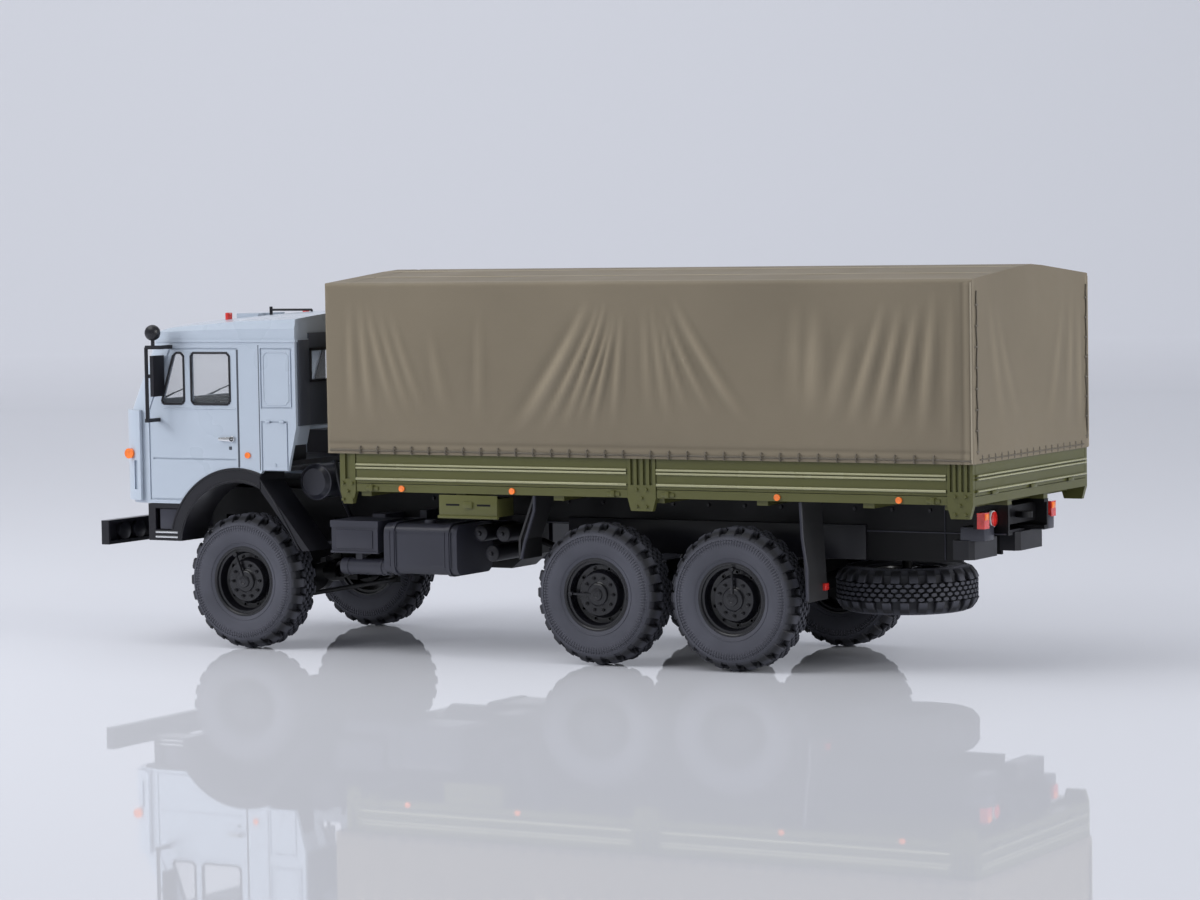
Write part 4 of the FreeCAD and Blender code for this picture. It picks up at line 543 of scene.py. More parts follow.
def tread_blocks():
    """Four staggered rows of small six-sided blocks round the middle of the tread."""
    rows = []
    for row, y in enumerate(BLOCK_ROWS):
        stone = drum("z", 0.56, 12.9, 14.22, sides=6)
        stone.scale = (1.42, 0.82, 1)
        apply_place(stone)
        open_up(stone)
        pick(stone, lambda place, normal: normal.z > 0.9)
        bpy.ops.transform.resize(value=(0.84, 0.84, 1))
        pick(stone, lambda place, normal: normal.z < -0.9)
        bpy.ops.mesh.delete(type="FACE")
        shut()
        stone.location = (0, y, 0)
        apply_place(stone)
        stone.rotation_euler = (0, math.radians(BLOCK_STAGGER * (row % 2)), 0)
        rows.append(ring_of(apply_place(stone), BLOCKS))
    return together(*rows)


def wrap_round(piece):
    """Wraps the tyre's own map: turns across, and the radius up."""
    wrap = piece.data.uv_layers.new(name="Wrap")
    for face in piece.data.polygons:
        middle = math.atan2(face.center.x, face.center.z) / (2 * math.pi)
        for loop in face.loop_indices:
            corner = piece.data.vertices[piece.data.loops[loop].vertex_index].co
            turn = math.atan2(corner.x, corner.z) / (2 * math.pi)
            turn += round(middle - turn)
            wrap.data[loop].uv = (turn, math.hypot(corner.x, corner.z))


def tyre():
    """The whole tyre: a drawn casing, two rows of lugs and the blocks between them."""
    casing = drum("y", CASING_RADIUS, -CASING_REACH, CASING_REACH, sides=96)
    for side in (1, -1):
        draw_on(casing, (CASING_RADIUS, CASING_REACH), sidewall_stations(), side)
    open_up(casing)
    pick(casing, lambda place, normal: abs(place.x) < 0.1 and abs(place.z) < 0.1)
    bpy.ops.mesh.delete(type="FACE")
    pick(casing, lambda place, normal: math.hypot(place.x, place.z) < BEAD_RADIUS, "EDGE")
    bpy.ops.mesh.bridge_edge_loops()
    shut()
    near = ring_of(tread_lug(), LUGS)
    far = another(near)
    far.rotation_euler = (0, 0, math.pi)
    apply_place(far)
    far.rotation_euler = (0, math.radians(LUG_STAGGER), 0)
    apply_place(far)
    whole = together(casing, near, far, tread_blocks())
    wrap_round(whole)
    return whole


def rim():
    """The dished rim with its hub, ten nuts, ten small bosses, air line and cap."""
    wheel = drum("y", RIM_RADIUS, -RIM_REACH, RIM_REACH, sides=64)
    draw_on(wheel, (RIM_RADIUS, RIM_REACH), [
        (7.1, 3.75), (6.9, 3.62), (6.84, 3.25), (6.32, 3.22), (6.22, 2.9), (6.18, 1.7), (5.95, 1.2), (5.6, 1.0),
        (4.95, 1.0), (4.8, 1.2), (4.45, 2.5), (4.3, 2.7), (2.5, 2.72), (2.3, 2.85), (2.2, 3.3), (2.05, 3.42),
        (1.3, 3.45), (1.2, 3.72), (1.05, 3.8), (0.6, 3.8), (0.5, 3.7),
    ], 1)
    draw_on(wheel, (RIM_RADIUS, RIM_REACH), [
        (7.1, 3.75), (6.9, 3.62), (6.84, 3.25), (6.35, 3.2), (6.3, -0.3), (2.15, -0.3), (2.1, 1.0), (1.05, 1.0),
        (1.05, -1.0),
    ], -1)
    nut = drum("z", 0.36, 0, 0.5, sides=6)
    draw_on(nut, (0.36, 0.5), [(0.24, 0.56), (0.2, 0.56), (0.19, 0.82), (0.12, 0.86)], 1, "z")
    nut.rotation_euler = (-math.pi / 2, 0, 0)
    nut.location = (0, 2.66, 3.35)
    nuts = ring_of(apply_place(nut), WHEEL_NUTS)
    boss = drum("y", 0.42, 1.0, 1.16, (0, 5.28), sides=12)
    draw_on(boss, (0.42, 1.16), [(0.3, 1.16), (0.27, 1.0)], 1, at=(0, 5.28))
    bosses = ring_of(boss, WHEEL_NUTS)
    inlet = block((-0.28, 0.28), (3.1, 3.75), (0.9, 6.3))
    open_up(inlet)
    pick(inlet, lambda place, normal: normal.z > 0.9)
    bpy.ops.transform.resize(value=(0.75, 0.7, 1), center_override=(0, 3.3, 6.3))
    shut()
    soften(inlet, 0.12)
    tap = drum("y", 0.5, 3.1, 3.85, (0, 6.05), sides=16)
    draw_on(tap, (0.5, 3.85), [(0.42, 3.95), (0.25, 3.95), (0.2, 3.85)], 1, at=(0, 6.05))
    return together(wheel, nuts, bosses, inlet, tap)


# How far each wheel is turned on its axle, in degrees, so that no two stand alike
WHEEL_TURNS = {"front": 20, "middle": 90, "rear": 0}


def wheels():
    tyre_form = tyre()
    rim_form = rim()
    for axle, x in AXLES.items():
        for side, sign in (("left", 1), ("right", -1)):
            body = f"wheel_{axle}_{side}"
            place = (x, HALF_TRACK * sign, WHEEL_HEIGHT)
            turn = (0, 0, 0 if sign > 0 else 180)
            running = settle(another(tyre_form), f"lugged_tyre_{axle}_{side}", TYRE, body, place, turn)
            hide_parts(f"tyre_{axle}_{side}")
            disc = another(rim_form)
            disc.rotation_euler = (0, math.radians(WHEEL_TURNS[axle]), 0)
            apply_place(disc)
            disc = settle(disc, f"bolted_rim_{axle}_{side}", RIM, body, place, turn)
            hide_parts(f"rim_{axle}_{side}")
    spare = settle(tyre_form, "lugged_tyre_spare", TYRE, "chassis", SPARE_PLACE, (90, 0, 0))
    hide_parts("spare_tyre")
    disc = settle(rim_form, "bolted_rim_spare", RIM, "chassis", SPARE_PLACE, (90, 0, 0))
    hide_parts("spare_rim")


# Tilt

TILT_FOOT = 42.1
TILT_EAVE = 77.4
TILT_RIDGE = 79.75
TILT_FLAT = 6.0
TILT_FLAT_DROP = 0.35
HEM_TOP = 44.0

# Folds on the sides: (x at the top, z at the top, x at the foot, z at the foot, half width, height)
SIDE_FOLDS = [
    (38.0, 73.5, 37.4, 50.0, 0.9, 0.26), (35.3, 73.8, 32.9, 50.0, 0.9, 0.30),
    (33.4, 73.0, 27.6, 51.5, 0.9, 0.32), (30.4, 71.5, 24.3, 51.5, 0.9, 0.26),
    (27.6, 71.2, 21.1, 52.0, 0.9, 0.24), (18.4, 67.7, 15.2, 51.5, 1.2, 0.20),
    (11.4, 74.0, 11.5, 49.5, -0.9, 0.22), (6.6, 71.5, 7.0, 49.8, 1.0, 0.20),
    (-18.6, 73.0, -3.9, 49.2, 1.5, 0.62), (-21.1, 71.8, -9.2, 49.3, 0.95, 0.58),
    (-22.7, 72.5, -14.0, 50.0, 0.8, 0.55), (-23.9, 69.4, -16.7, 50.7, 0.65, 0.42),
    (-24.9, 70.3, -19.8, 49.6, 0.7, 0.42), (-26.6, 70.9, -24.6, 50.5, 0.8, 0.36),
    (-31.6, 72.4, -32.6, 52.2, 0.9, 0.24), (-33.6, 72.6, -36.6, 51.0, 0.8, 0.34),
    (-35.2, 70.4, -40.2, 53.2, 0.65, 0.34), (-36.6, 71.7, -45.6, 52.3, 0.75, 0.40),
    (-38.5, 74.0, -52.4, 51.4, 1.1, 0.44), (-65.5, 73.3, -65.2, 52.5, 1.6, 0.22),
    (-69.6, 71.8, -68.6, 52.0, 1.8, 0.40), (-77.6, 69.4, -72.6, 51.3, 1.6, 0.34),
    (-83.9, 72.9, -77.4, 50.7, 1.1, 0.50), (-87.5, 72.3, -82.4, 50.4, 1.0, 0.52),
    (-91.0, 72.3, -87.0, 50.5, 1.0, 0.55), (-94.6, 74.4, -92.2, 49.0, 1.0, 0.52),
    (-98.4, 74.9, -97.4, 47.0, 1.0, 0.30),
]
# Folds on the rear face, with y for x
REAR_FOLDS = [
    (20.5, 74.0, 14.5, 50.0, 1.4, 0.22), (17.0, 72.0, 8.0, 51.0, 1.3, 0.2), (-16.0, 73.0, -9.5, 50.0, 1.4, 0.22),
    (-20.5, 74.0, -18.5, 49.0, 1.2, 0.3), (-24.0, 72.5, -24.6, 48.0, 1.0, 0.34),
]


def fold_height(folds, across, up):
    """How far the folds lift the canvas at a place."""
    crests, hollows = 0.0, 0.0
    for top_x, top_z, foot_x, foot_z, width, height in folds:
        run = (top_z - up) / (top_z - foot_z)
        if not -0.12 < run < 1.12:
            continue
        line = top_x + (foot_x - top_x) * max(run, 0) ** 1.18
        fade = math.sin(math.pi * min(max((run + 0.06) / 1.18, 0), 1)) ** 1.3
        spread = max(abs(width) * (0.66 + 0.5 * max(run, 0)), 0.55)
        away = abs(across - line) / spread
        rise = math.copysign(height * 1.25, width) * fade
        crest = rise * math.exp(-away ** 1.6)
        crests = max(crests, crest) if rise > 0 else crests + crest
        hollows = max(hollows, 0.36 * rise * math.exp(-((away - 1.8) * 0.95) ** 2))
    return max(min(crests - hollows * max(1 - crests / 0.35, 0), 0.9), -0.4)


# Where the mesh's columns are drawn together, how widely and how far
CROWD_PLACE = -22
CROWD_WIDTH = 16
CROWD_PULL = 9
# How far the right side's folds stand behind the left side's
RIGHT_SIDE_DRIFT = 3.5
STRIP_WIDTH = 1.9
GROOVE_WIDTH = 0.7
# How much painted shade darkens a groove's floor, on the scale of the folds' heights
GROOVE_SHADE = 0.3
ROOF_BAYS = 6


def tilt_body():
    """The tilt's plain form: gabled, open below, divided for its folds."""
    cover = block((TILT_REAR, TILT_FRONT), (-BODY_SIDE, BODY_SIDE), (TILT_FOOT, TILT_EAVE))
    open_up(cover)
    pick(cover, lambda place, normal: normal.z < -0.9)
    bpy.ops.mesh.delete(type="FACE")
    for place in (-TILT_FLAT, 0, TILT_FLAT):
        pick_all()
        bpy.ops.mesh.bisect(plane_co=(0, place, 0), plane_no=(0, 1, 0))
    pick(cover, lambda place, normal: place.z > TILT_EAVE - 0.1 and abs(place.y) < TILT_FLAT + 0.1, "VERT")
    raise_by(TILT_RIDGE - TILT_FLAT_DROP - TILT_EAVE)
    pick(cover, lambda place, normal: place.z > TILT_EAVE + 1 and abs(place.y) < 0.1, "VERT")
    raise_by(TILT_FLAT_DROP)
    pick(cover, lambda place, line: abs(place.y) > BODY_SIDE - 1
         and (abs(line.z) > 0.9 or abs(line.x) > 0.9 and place.z > TILT_EAVE - 0.1), "EDGE")
    bpy.ops.mesh.bevel(offset=0.7, segments=3, profile=0.5)
    for rule, cuts in (
        (lambda place, line: abs(line.x) > 0.99, 119),
        (lambda place, line: abs(line.x) > 0.99, 1),
        (lambda place, line: abs(line.z) > 0.99 and place.z < TILT_EAVE, 59),
        (lambda place, line: abs(line.y) > 0.95 and abs(place.y) > TILT_FLAT - 0.1, 17),
        (lambda place, line: abs(line.y) > 0.95 and abs(place.y) < TILT_FLAT, 2),
    ):
        pick(cover, rule, "EDGE")
        bpy.ops.mesh.subdivide(number_cuts=cuts)
    shut()
    for corner in cover.data.vertices:
        away = (corner.co.x - CROWD_PLACE) / CROWD_WIDTH
        corner.co.x -= CROWD_PULL * away * math.exp(-away ** 2)
    return cover


def mould_side(place):
    """Moulds one place on a side: folds, a raised hem and rear strip, and the grooves beside both. Returns its
    painted light and shade: painted highlight on fold crests, painted shade in fold hollows and the grooves, and
    paler at the rear strip.
    """
    sign = math.copysign(1, place.y)
    lift = fold_height(SIDE_FOLDS, place.x + (0 if sign > 0 else RIGHT_SIDE_DRIFT), place.z)
    # Fold crests get painted highlight and fold hollows painted shade.
    shade = lift
    if place.z < HEM_TOP:
        lift += 0.14
    elif place.z < HEM_TOP + GROOVE_WIDTH:
        lift -= 0.10
        # Painted shade in the groove above the hem.
        shade -= GROOVE_SHADE
    if place.x < TILT_REAR + STRIP_WIDTH:
        lift += 0.12
        shade += 0.25
    elif place.x < TILT_REAR + STRIP_WIDTH + GROOVE_WIDTH:
        # Painted shade in the groove beside the rear strip.
        shade -= GROOVE_SHADE
    place.y += lift * sign
    return shade


def mould_rear(place):
    """Moulds one place on the rear face, pressed in between its folds and paler at its strips, with painted highlight
    on the folds' crests and painted shade in their hollows.
    """
    lift = fold_height(REAR_FOLDS, place.y, place.z)
    place.x += 0.35 * max(0.5 - lift, 0) * min(max((place.z - 45) / 2, 0), 1)
    return lift + (0.2 if abs(place.y) > 27.2 else 0)


def mould_roof(place):
    """Moulds one place on the roof, which sags between the bows, with a groove near its front that gets painted
    shade.
    """
    bow = math.sin((place.x - TILT_REAR) / (TILT_FRONT - TILT_REAR) * math.pi * ROOF_BAYS) ** 2
    if BODY_SIDE - 2 > abs(place.y) > TILT_FLAT + 0.5:
        place.z -= 0.10 * bow
    if TILT_FRONT - 5.6 < place.x < TILT_FRONT - 4.6:
        place.z -= 0.12
        return -GROOVE_SHADE
    return 0.0


def tilt_cover():
    """The tilt, with its moulded folds, hem and edges, and the painted light and shade of its folds and grooves kept
    in its Fold value.
    """
    cover = tilt_body()
    folds = cover.data.attributes.new("Fold", "FLOAT", "POINT")
    for corner in cover.data.vertices:
        place = corner.co
        shade = 0.0
        if abs(place.y) > BODY_SIDE - 0.02 and place.z < TILT_EAVE - 0.5:
            shade = mould_side(place)
        elif place.x < TILT_REAR + 0.02:
            shade = mould_rear(place)
        elif place.z > TILT_EAVE:
            shade = mould_roof(place)
        folds.data[corner.index].value = shade
    hold(cover)
    wall = cover.modifiers.new("Wall", "SOLIDIFY")
    wall.thickness = 0.5
    wall.offset = -1
    bpy.ops.object.modifier_apply(modifier=wall.name)
    cover = settle(cover, "tilt_cover", TILT, smooth=50)
    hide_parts("tilt")


def rope_run(points, radius=0.2):
    """A laid rope along a line of places, from a bevelled path."""
    let_go()
    bpy.ops.curve.primitive_nurbs_path_add()
    path = bpy.context.object
    path.data.splines.clear()
    line = path.data.splines.new("POLY")
    line.points.add(len(points) - 1)
    for knot, place in zip(line.points, points):
        knot.co = (*place, 1)
    path.data.bevel_depth = radius
    path.data.bevel_resolution = 2
    path.data.use_fill_caps = True
    hold(path)
    bpy.ops.object.convert(target="MESH")
    return bpy.context.object


LACE_HEIGHT = 42.85
STAPLE_HEIGHT = 42.95
# The staples' places along each side, in two runs with a gap at the middle post
SIDE_STAPLES = [35.68 - 4.15 * i for i in range(16)] + [-32.84 - 4.11 * i for i in range(16)]


def staples(staple, places, turn=(0, 0, 0), scale=(1, 1, 1)):
    """Copies of a staple, turned and scaled alike, one at each place."""
    hoops = []
    for place in places:
        hoop = another(staple)
        hoop.location = place
        hoop.rotation_euler = in_radians(turn)
        hoop.scale = scale
        hoops.append(apply_place(hoop))
    return hoops


def lacing():
    """The rope laced along the hem and up the rear corners, with its staples."""
    parts = []
    staple = rope_run([(0, 0, 0.75), (0, 0.38, 0.6), (0, 0.52, 0.1), (0, 0.42, -0.45), (0, 0, -0.75)], 0.17)
    for sign in (1, -1):
        y = (BODY_SIDE + 0.2) * sign
        parts.append(rope_run([(TILT_FRONT - 1 - i * 1.5, y + 0.03 * math.sin(i * 1.9),
                                LACE_HEIGHT + 0.05 * math.sin(i * 0.7)) for i in range(98)]))
        parts += staples(staple, [(x, y - 0.1 * sign, STAPLE_HEIGHT) for x in SIDE_STAPLES], scale=(1, sign, 1))
    x = TILT_REAR - 0.02
    flat = (1, 0.2, 0.9)
    for y in (26.9, -27.7):
        parts.append(rope_run([(x, y + 0.14 * math.sin(i * 1.3), 75.2 - i * 1.25) for i in range(26)], 0.15))
        parts += staples(staple, [(x, y, 72.5 - i * 4.0) for i in range(8)], (0, 90, 90), flat)
    parts.append(rope_run([(x, 26.0 - i * 2.0, LACE_HEIGHT) for i in range(27)], 0.13))
    parts += staples(staple, [(x, 24.8 - i * 3.1, STAPLE_HEIGHT) for i in range(17)], (0, 0, 90), flat)
    bpy.data.objects.remove(staple)
    fit(parts, "hem_lacing", ROPE, ROUND)


def tilt_strips():
    """The pale strips on the tilt's rear corners and along its roof, over the bows beneath."""
    parts = []
    for sign in (1, -1):
        for x, y, top, radius in ((0.3, BODY_SIDE + 0.03, 76.8, 0.16), (0.26, BODY_SIDE - 1.0, 76.9, 0.1)):
            parts.append(rope_run([(TILT_REAR + x, y * sign, z) for z in (42.3, 52, 64, top)], radius))
        for y in (6.2, 17.0, 27.6):
            slope = (TILT_RIDGE - TILT_FLAT_DROP - TILT_EAVE) / 22.35
            z = TILT_EAVE + (28.35 - y) * slope - 0.04
            parts.append(rope_run([(TILT_FRONT - 0.6, y * sign, z), (TILT_REAR + 0.6, y * sign, z)], 0.13))
    fit(parts, "tilt_edge_strips", STRIP, ROUND)


# Cab, bed and chassis fittings

SIDES = (1, -1)
# The smoothing angle of pieces made of ropes, in degrees
ROUND = 60


def facing_out(piece):
    """Joins a piece's doubled corners and turns its faces outward."""
    open_up(piece)
    pick_all()
    bpy.ops.mesh.remove_doubles(threshold=0.0005)
    pick_all()
    bpy.ops.mesh.normals_make_consistent(inside=False)
    shut()
    return piece


def fit(parts, name, finish, smooth=32):
    """Makes one piece of many parts, in its place on the chassis."""
    return settle(facing_out(together(*parts)), name, finish, smooth=smooth)


def slab(x, y, z, width=0.1, side=1):
    """A rounded block, its sideways places mirrored on the right."""
    return soften(block(x, sorted((y[0] * side, y[1] * side)), z), width)


def side_drum(radius, y, at, side, sides):
    """A drum lying across, its sideways places mirrored on the right."""
    return drum("y", radius, *sorted((y[0] * side, y[1] * side)), at, sides)


def side_rope(points, radius, side):
    """A rope, its sideways places mirrored on the right."""
    return rope_run([(x, y * side, z) for x, y, z in points], radius)


def seal_round(corners, y, radius, cut=0.7):
    """A round seal about an opening, with its corners cut."""
    points = []
    for i, (x, z) in enumerate(corners):
        for other in (corners[i - 1], corners[(i + 1) % len(corners)]):
            away = Vector((other[0] - x, other[1] - z)).normalized() * cut
            points.append((x + away.x, y, z + away.y))
    points.append(points[0])
    return rope_run(points, radius)


CAB_FACE = BODY_SIDE + 0.02
QUARTER_PANE = [(86.2, 52.0), (82.7, 62.9), (80.2, 62.9), (80.2, 52.0)]
DOOR_PANE = [(78.3, 52.0), (78.3, 62.9), (68.4, 62.9), (68.4, 52.0)]
REAR_PANEL = [(53.5, 52.1), (59.8, 52.1), (59.8, 63.1), (53.5, 63.1)]
ARCH_CENTRE = (67.2, 21.0)
LEVER_HEIGHT = 44.7

# The painted shadow sheets over the cab's rear wall about its two windows, and the windows' frames: sideways and
# upward reaches
REAR_WALL_SHADOWS = [((24.0, 28.2), (47.6, 65.6)), ((12.2, 24.1), (47.6, 56.7)), ((12.2, 24.1), (63.7, 67.0)),
          ((0.0, 12.3), (47.6, 68.0))]
WINDOW_FRAMES = [((12.2, 12.8), (56.7, 63.8)), ((23.4, 24.1), (56.7, 63.8)), ((12.2, 24.1), (56.6, 57.2)),
                 ((12.2, 24.1), (63.2, 63.8))]


def door_lever(side):
    """A lever handle that narrows forward, and the round boss that it turns on."""
    lever = slab((67.4, 71.3), (29.0, 29.64), (44.1, 45.25), 0.12, side)
    open_up(lever)
    pick(lever, lambda place, normal: place.x > 70, "VERT")
    bpy.ops.transform.resize(value=(1, 1, 0.55), center_override=(71.3, 29.2 * side, LEVER_HEIGHT))
    shut()
    boss_place = (67.9, LEVER_HEIGHT)
    boss = drum("y", 0.62, 29.0, 29.5, boss_place, 20)
    draw_on(boss, (0.62, 29.5), [(0.5, 29.64), (0.2, 29.64), (0.14, 29.5)], 1, at=boss_place)
    if side < 0:
        boss.rotation_euler = (math.pi, 0, 0)
        boss.location = (0, 0, 2 * LEVER_HEIGHT)
        apply_place(boss)
    return [lever, boss]


def arch_bead(radius, thickness, side):
    """A bead along the arch over the front wheel."""
    turns = [math.radians(14 + i * 3.9) for i in range(26)]
    return side_rope([(ARCH_CENTRE[0] + radius * math.cos(turn), 29.14, ARCH_CENTRE[1] + radius * math.sin(turn))
                      for turn in turns], thickness, side)


def on_screen(y, z, stand_off):
    """A place on the leaning windscreen, standing a little off it."""
    return 97.1 - 6.4 * (z - 50.6) / 14.6 + stand_off, y, z


def cab_side_fittings():
    seals, gap_shadows, hinges, levers, beads = [], [], [], [], []
    panels, plates, lamps, lining, frames = [], [], [], [], []
    for side in SIDES:
        face = CAB_FACE * side
        seals += [seal_round(pane, face, 0.26) for pane in (QUARTER_PANE, DOOR_PANE)]
        # Dark strips in the door's rear gap, in the seam ahead of it and below the door lever: painted shadow.
        gap_shadows += [slab((66.15, 66.65), (28.7, 29.09), (38.8, 63.6), 0.05, side),
                 slab((60.9, 61.12), (28.7, 29.08), (38.2, 64.6), 0.03, side),
                 slab((68.2, 68.9), (28.8, 29.2), (42.4, 43.1), 0.1, side)]
        hinges += [slab((x, x + 1.1), (28.9, 29.4), (48.2, 48.75), 0.12, side) for x in (54.8, 58.4)]
        hinges.append(side_drum(0.3, (28.9, 29.3), (57.2, 39.4), side, 12))
        levers += door_lever(side)
        beads += [arch_bead(17.3, 0.24, side), arch_bead(14.9, 0.18, side),
                  side_rope([(61.1, 29.05, 36.1), (57.6, 29.1, 31.6), (53.4, 29.1, 24.6), (51.7, 29.1, 21.6)],
                            0.22, side)]
        panels += [seal_round(REAR_PANEL, face, 0.13, 0.8),
                   rope_run([(53.0, face, 65.3), (66.0, face, 65.4), (83.2, face, 65.3)], 0.2),
                   rope_run([(67.0, face, 51.1), (85.6, face, 51.1)], 0.16)]
        plates.append(slab((82.3, 87.4), (27.4, 28.8), (25.1, 29.5), 0.15, side))
        lamps.append(soften(drum("z", 0.76, 69.3, 71.05, (78.0, 15 * side), 20), 0.15))
        # Dark sheets over the rear wall: painted shadow, where the wall stands in shade.
        lining += [slab((51.45, 51.85), y, z, 0.03, side) for y, z in REAR_WALL_SHADOWS]
        frames += [slab((51.2, 51.8), y, z, 0.08, side) for y, z in WINDOW_FRAMES]
    fit(seals, "window_seals", BLACK, ROUND)
    fit(gap_shadows, "door_gap_painted_shadows", SHADE)
    fit(hinges, "locker_hinges", PAINT)
    levers = fit(levers, "door_levers", CHROME)
    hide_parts("door_handles")
    fit(beads, "mudguard_beads", BLACK, ROUND)
    fit(panels, "panel_and_roof_beads", PAINT, ROUND)
    fit(plates, "step_plates", GREY)
    fit(lamps, "roof_lamp_caps", RED)
    # The rear wall's painted shadow sheets.
    fit(lining, "rear_wall_painted_shadow", SHADE)
    fit(frames, "rear_window_frames", BLACK)


# The headlamps' places across, and their height
LAMPS_ACROSS = (17.2, 22.6, -17.2, -22.6)
LAMP_HEIGHT = 24.0


def cab_front_fittings():
    wipers = []
    for y in (16.0, -1.5):
        wipers += [rope_run([on_screen(y, 51.6, 0.3), on_screen(y - 6.0, 53.4, 0.55)], 0.22),
                   rope_run([on_screen(y - 1.0, 52.2, 0.35), on_screen(y - 11.5, 54.8, 0.35)], 0.16),
                   soften(drum("x", 0.5, 96.4, 97.3, (y, 51.5), 16), 0.1)]
    fit(wipers, "wipers", BLACK, ROUND)
    treads = [slab((82.5, 88.3), (28.4, 29.36), (z, z + 0.45), 0.1, side) for side in SIDES for z in (23.3, 24.3)]
    fit(treads, "step_treads", CHROME)
    buckets, lenses = [], []
    for y in LAMPS_ACROSS:
        place = (y, LAMP_HEIGHT)
        buckets.append(soften(drum("x", 2.05, 101.1, 102.3, place, 32), 0.2))
        lens = drum("x", 1.72, 102.2, 102.45, place, 32)
        lenses.append(draw_on(lens, (1.72, 102.45), [(1.6, 102.55), (1.2, 102.62), (0.6, 102.67)], 1, "x", place))
    fit(buckets, "headlamp_buckets", BLACK)
    lenses = fit(lenses, "headlamp_lenses", CLEAR_LAMP)
    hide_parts("headlamps")


# The ridges along the bed's boards, low to high: height and radius
BOARD_RIDGES = [(36.85, 0.30), (39.13, 0.26), (39.82, 0.26)]
TAIL_RIDGE_RADIUS = 0.2
# Bolts on a post's bracket: place along from the post, and height
BRACKET_BOLTS = [(-1.1, 32.5), (1.1, 32.5), (0, 34.2), (-1.1, 35.9), (1.1, 35.9)]


def bed_fittings():
    ridges, bolts, latches = [], [], []
    for side in SIDES:
        for first, last in ((-26.8, 37.4), (-96.6, -33.6)):
            ridges += [side_rope([(first, 28.48, z), (last, 28.48, z)], radius, side) for z, radius in BOARD_RIDGES]
        for post in (39.5, -30.2, -99.5):
            bolts += [side_drum(0.34, (28.4, 28.95), (post + along, z), side, 6) for along, z in BRACKET_BOLTS]
        for x in (33.6, -23.7, -36.1, -93.8):
            latches += [slab((x - 1.5, x + 1.5), (28.2, 28.6), (34.5, 35.3), 0.12, side),
                        slab((x - 0.4, x + 0.5), (28.2, 28.95), (34.3, 35.6), 0.15, side)]
    latches += [slab((-102.78, -102.4), (y - 1.4, y + 1.4), (35.9, 36.6), 0.12) for y in (-19.0, 0.0, 19.0)]
    ridges += [rope_run([(-102.58, -27.0, z), (-102.58, 27.0, z)], TAIL_RIDGE_RADIUS) for z, _ in BOARD_RIDGES]
    chest = [slab((3.4, 17.3), (28.2, 28.55), (29.3, 33.9), 0.1), slab((3.2, 17.5), (28.1, 28.9), (29.1, 29.7), 0.12),
             slab((9.2, 11.4), (28.3, 29.0), (31.2, 32.6), 0.15)]
    slots = [slab(x, (28.4, 28.6), (31.7, 32.1), 0.04) for x in ((5.0, 8.2), (12.4, 15.6))]
    # The board ridges take the olive with painted highlight.
    fit(ridges, "board_ridges", PAINTED_HIGHLIGHT_OLIVE, ROUND)
    fit(bolts, "bracket_bolts", OLIVE)
    fit(latches, "board_latches", OLIVE)
    fit(chest, "toolbox_face", OLIVE)
    fit(slots, "toolbox_slots", CHASSIS)


# Soft lines, each as (along, across, up): the hoses behind the cab, the front flap's edge and the rear flap's
CAB_HOSE = [(48.0, 20, 40.0), (47.0, 20.5, 36.0), (46.4, 19.5, 31.0), (46.0, 17, 27.0)]
FLAP_EDGES = [
    [(-5.0, 27.7, 34.0), (-4.9, 27.8, 31.0), (-2.6, 27.8, 24.6), (-1.7, 27.7, 21.2)],
    [(-65.1, 27.7, 34.0), (-65.5, 27.8, 27.0), (-66.4, 27.8, 21.0), (-66.4, 27.7, 14.7)],
]
# The outer face of the frame's rails
RAIL_FACE = 10.15


def receiver_end(x, z):
    """The domed end of an air receiver, with its drain plug."""
    end = drum("y", 1.7, 23.7, 24.0, (x, z), 32)
    return draw_on(end, (1.7, 24.0), [(1.55, 24.35), (1.1, 24.65), (0.5, 24.75), (0.45, 25.2), (0.3, 25.3)], 1,
                   at=(x, z))


def chassis_fittings():
    red, orange, pale = [], [], []
    grey = [slab((34.6, 43.6), (26.7, 27.22), (22.1, 26.0), 0.18),
            slab((33.2, 45.0), (26.4, 27.3), (21.1, 21.6), 0.12)]
    grey += [soften(drum("x", 1.86, x, x + 0.5, (24.6, 18.2), 32), 0.08) for x in (33.1, 41.4)]
    grey += [slab((x - 0.12, x + 0.12), (26.6, 27.25), (18.6, 26.0), 0.06) for x in (29.0, 30.4, 15.7, 17.1)]
    black = [receiver_end(x, z) for x, z in ((10.0, 25.8), (4.6, 25.8), (7.3, 21.7))]
    for side in SIDES:
        black += [side_drum(0.36, (9.9, 10.4), (30.0 - i * 8.2, 31.6), side, 6) for i in range(16)]
        black += [side_rope(CAB_HOSE, 0.45, side), slab((-71.0, -3.0), (10.0, 10.6), (21.5, 28.5), 0.2, side)]
        grey.append(slab((-99.6, -94.4), (12.6, 17.4), (26.4, 29.2), 0.3, side))
        grey += [side_rope([(-101.0, RAIL_FACE, 27.3), (40.0, RAIL_FACE, 27.3)], 0.16, side),
                 side_rope([(-88.0, RAIL_FACE, 21.9), (-88.0, RAIL_FACE, 32.6)], 0.13, side)]
        grey += [side_rope(edge, 0.34, side) for edge in FLAP_EDGES]
        red.append(slab((-67.2, -66.4), (19.6, 21.2), (16.2, 17.6), 0.15, side))
        orange.append(slab((-99.95, -99.7), (15.7, 17.5), (30.5, 31.75), 0.1, side))
        lamp_place = (11.6 * side, 30.4)
        pale.append(soften(drum("x", 1.62, -99.1, -98.4, lamp_place, 32), 0.12))
        red.append(soften(drum("x", 1.35, -99.34, -98.9, lamp_place, 32), 0.15))
    fit(grey, "tank_and_battery_trim", GREY)
    fit(black, "chassis_fittings", BLACK)
    fit(red, "rear_reflectors", RED)
    fit(orange, "rear_turn_lenses", ORANGE)
    fit(pale, "rear_lamp_rings", CLEAR_LAMP)


# Stage, light and view

FLOOR_TURN = 29.4
FLOOR_DROP = 0.00003


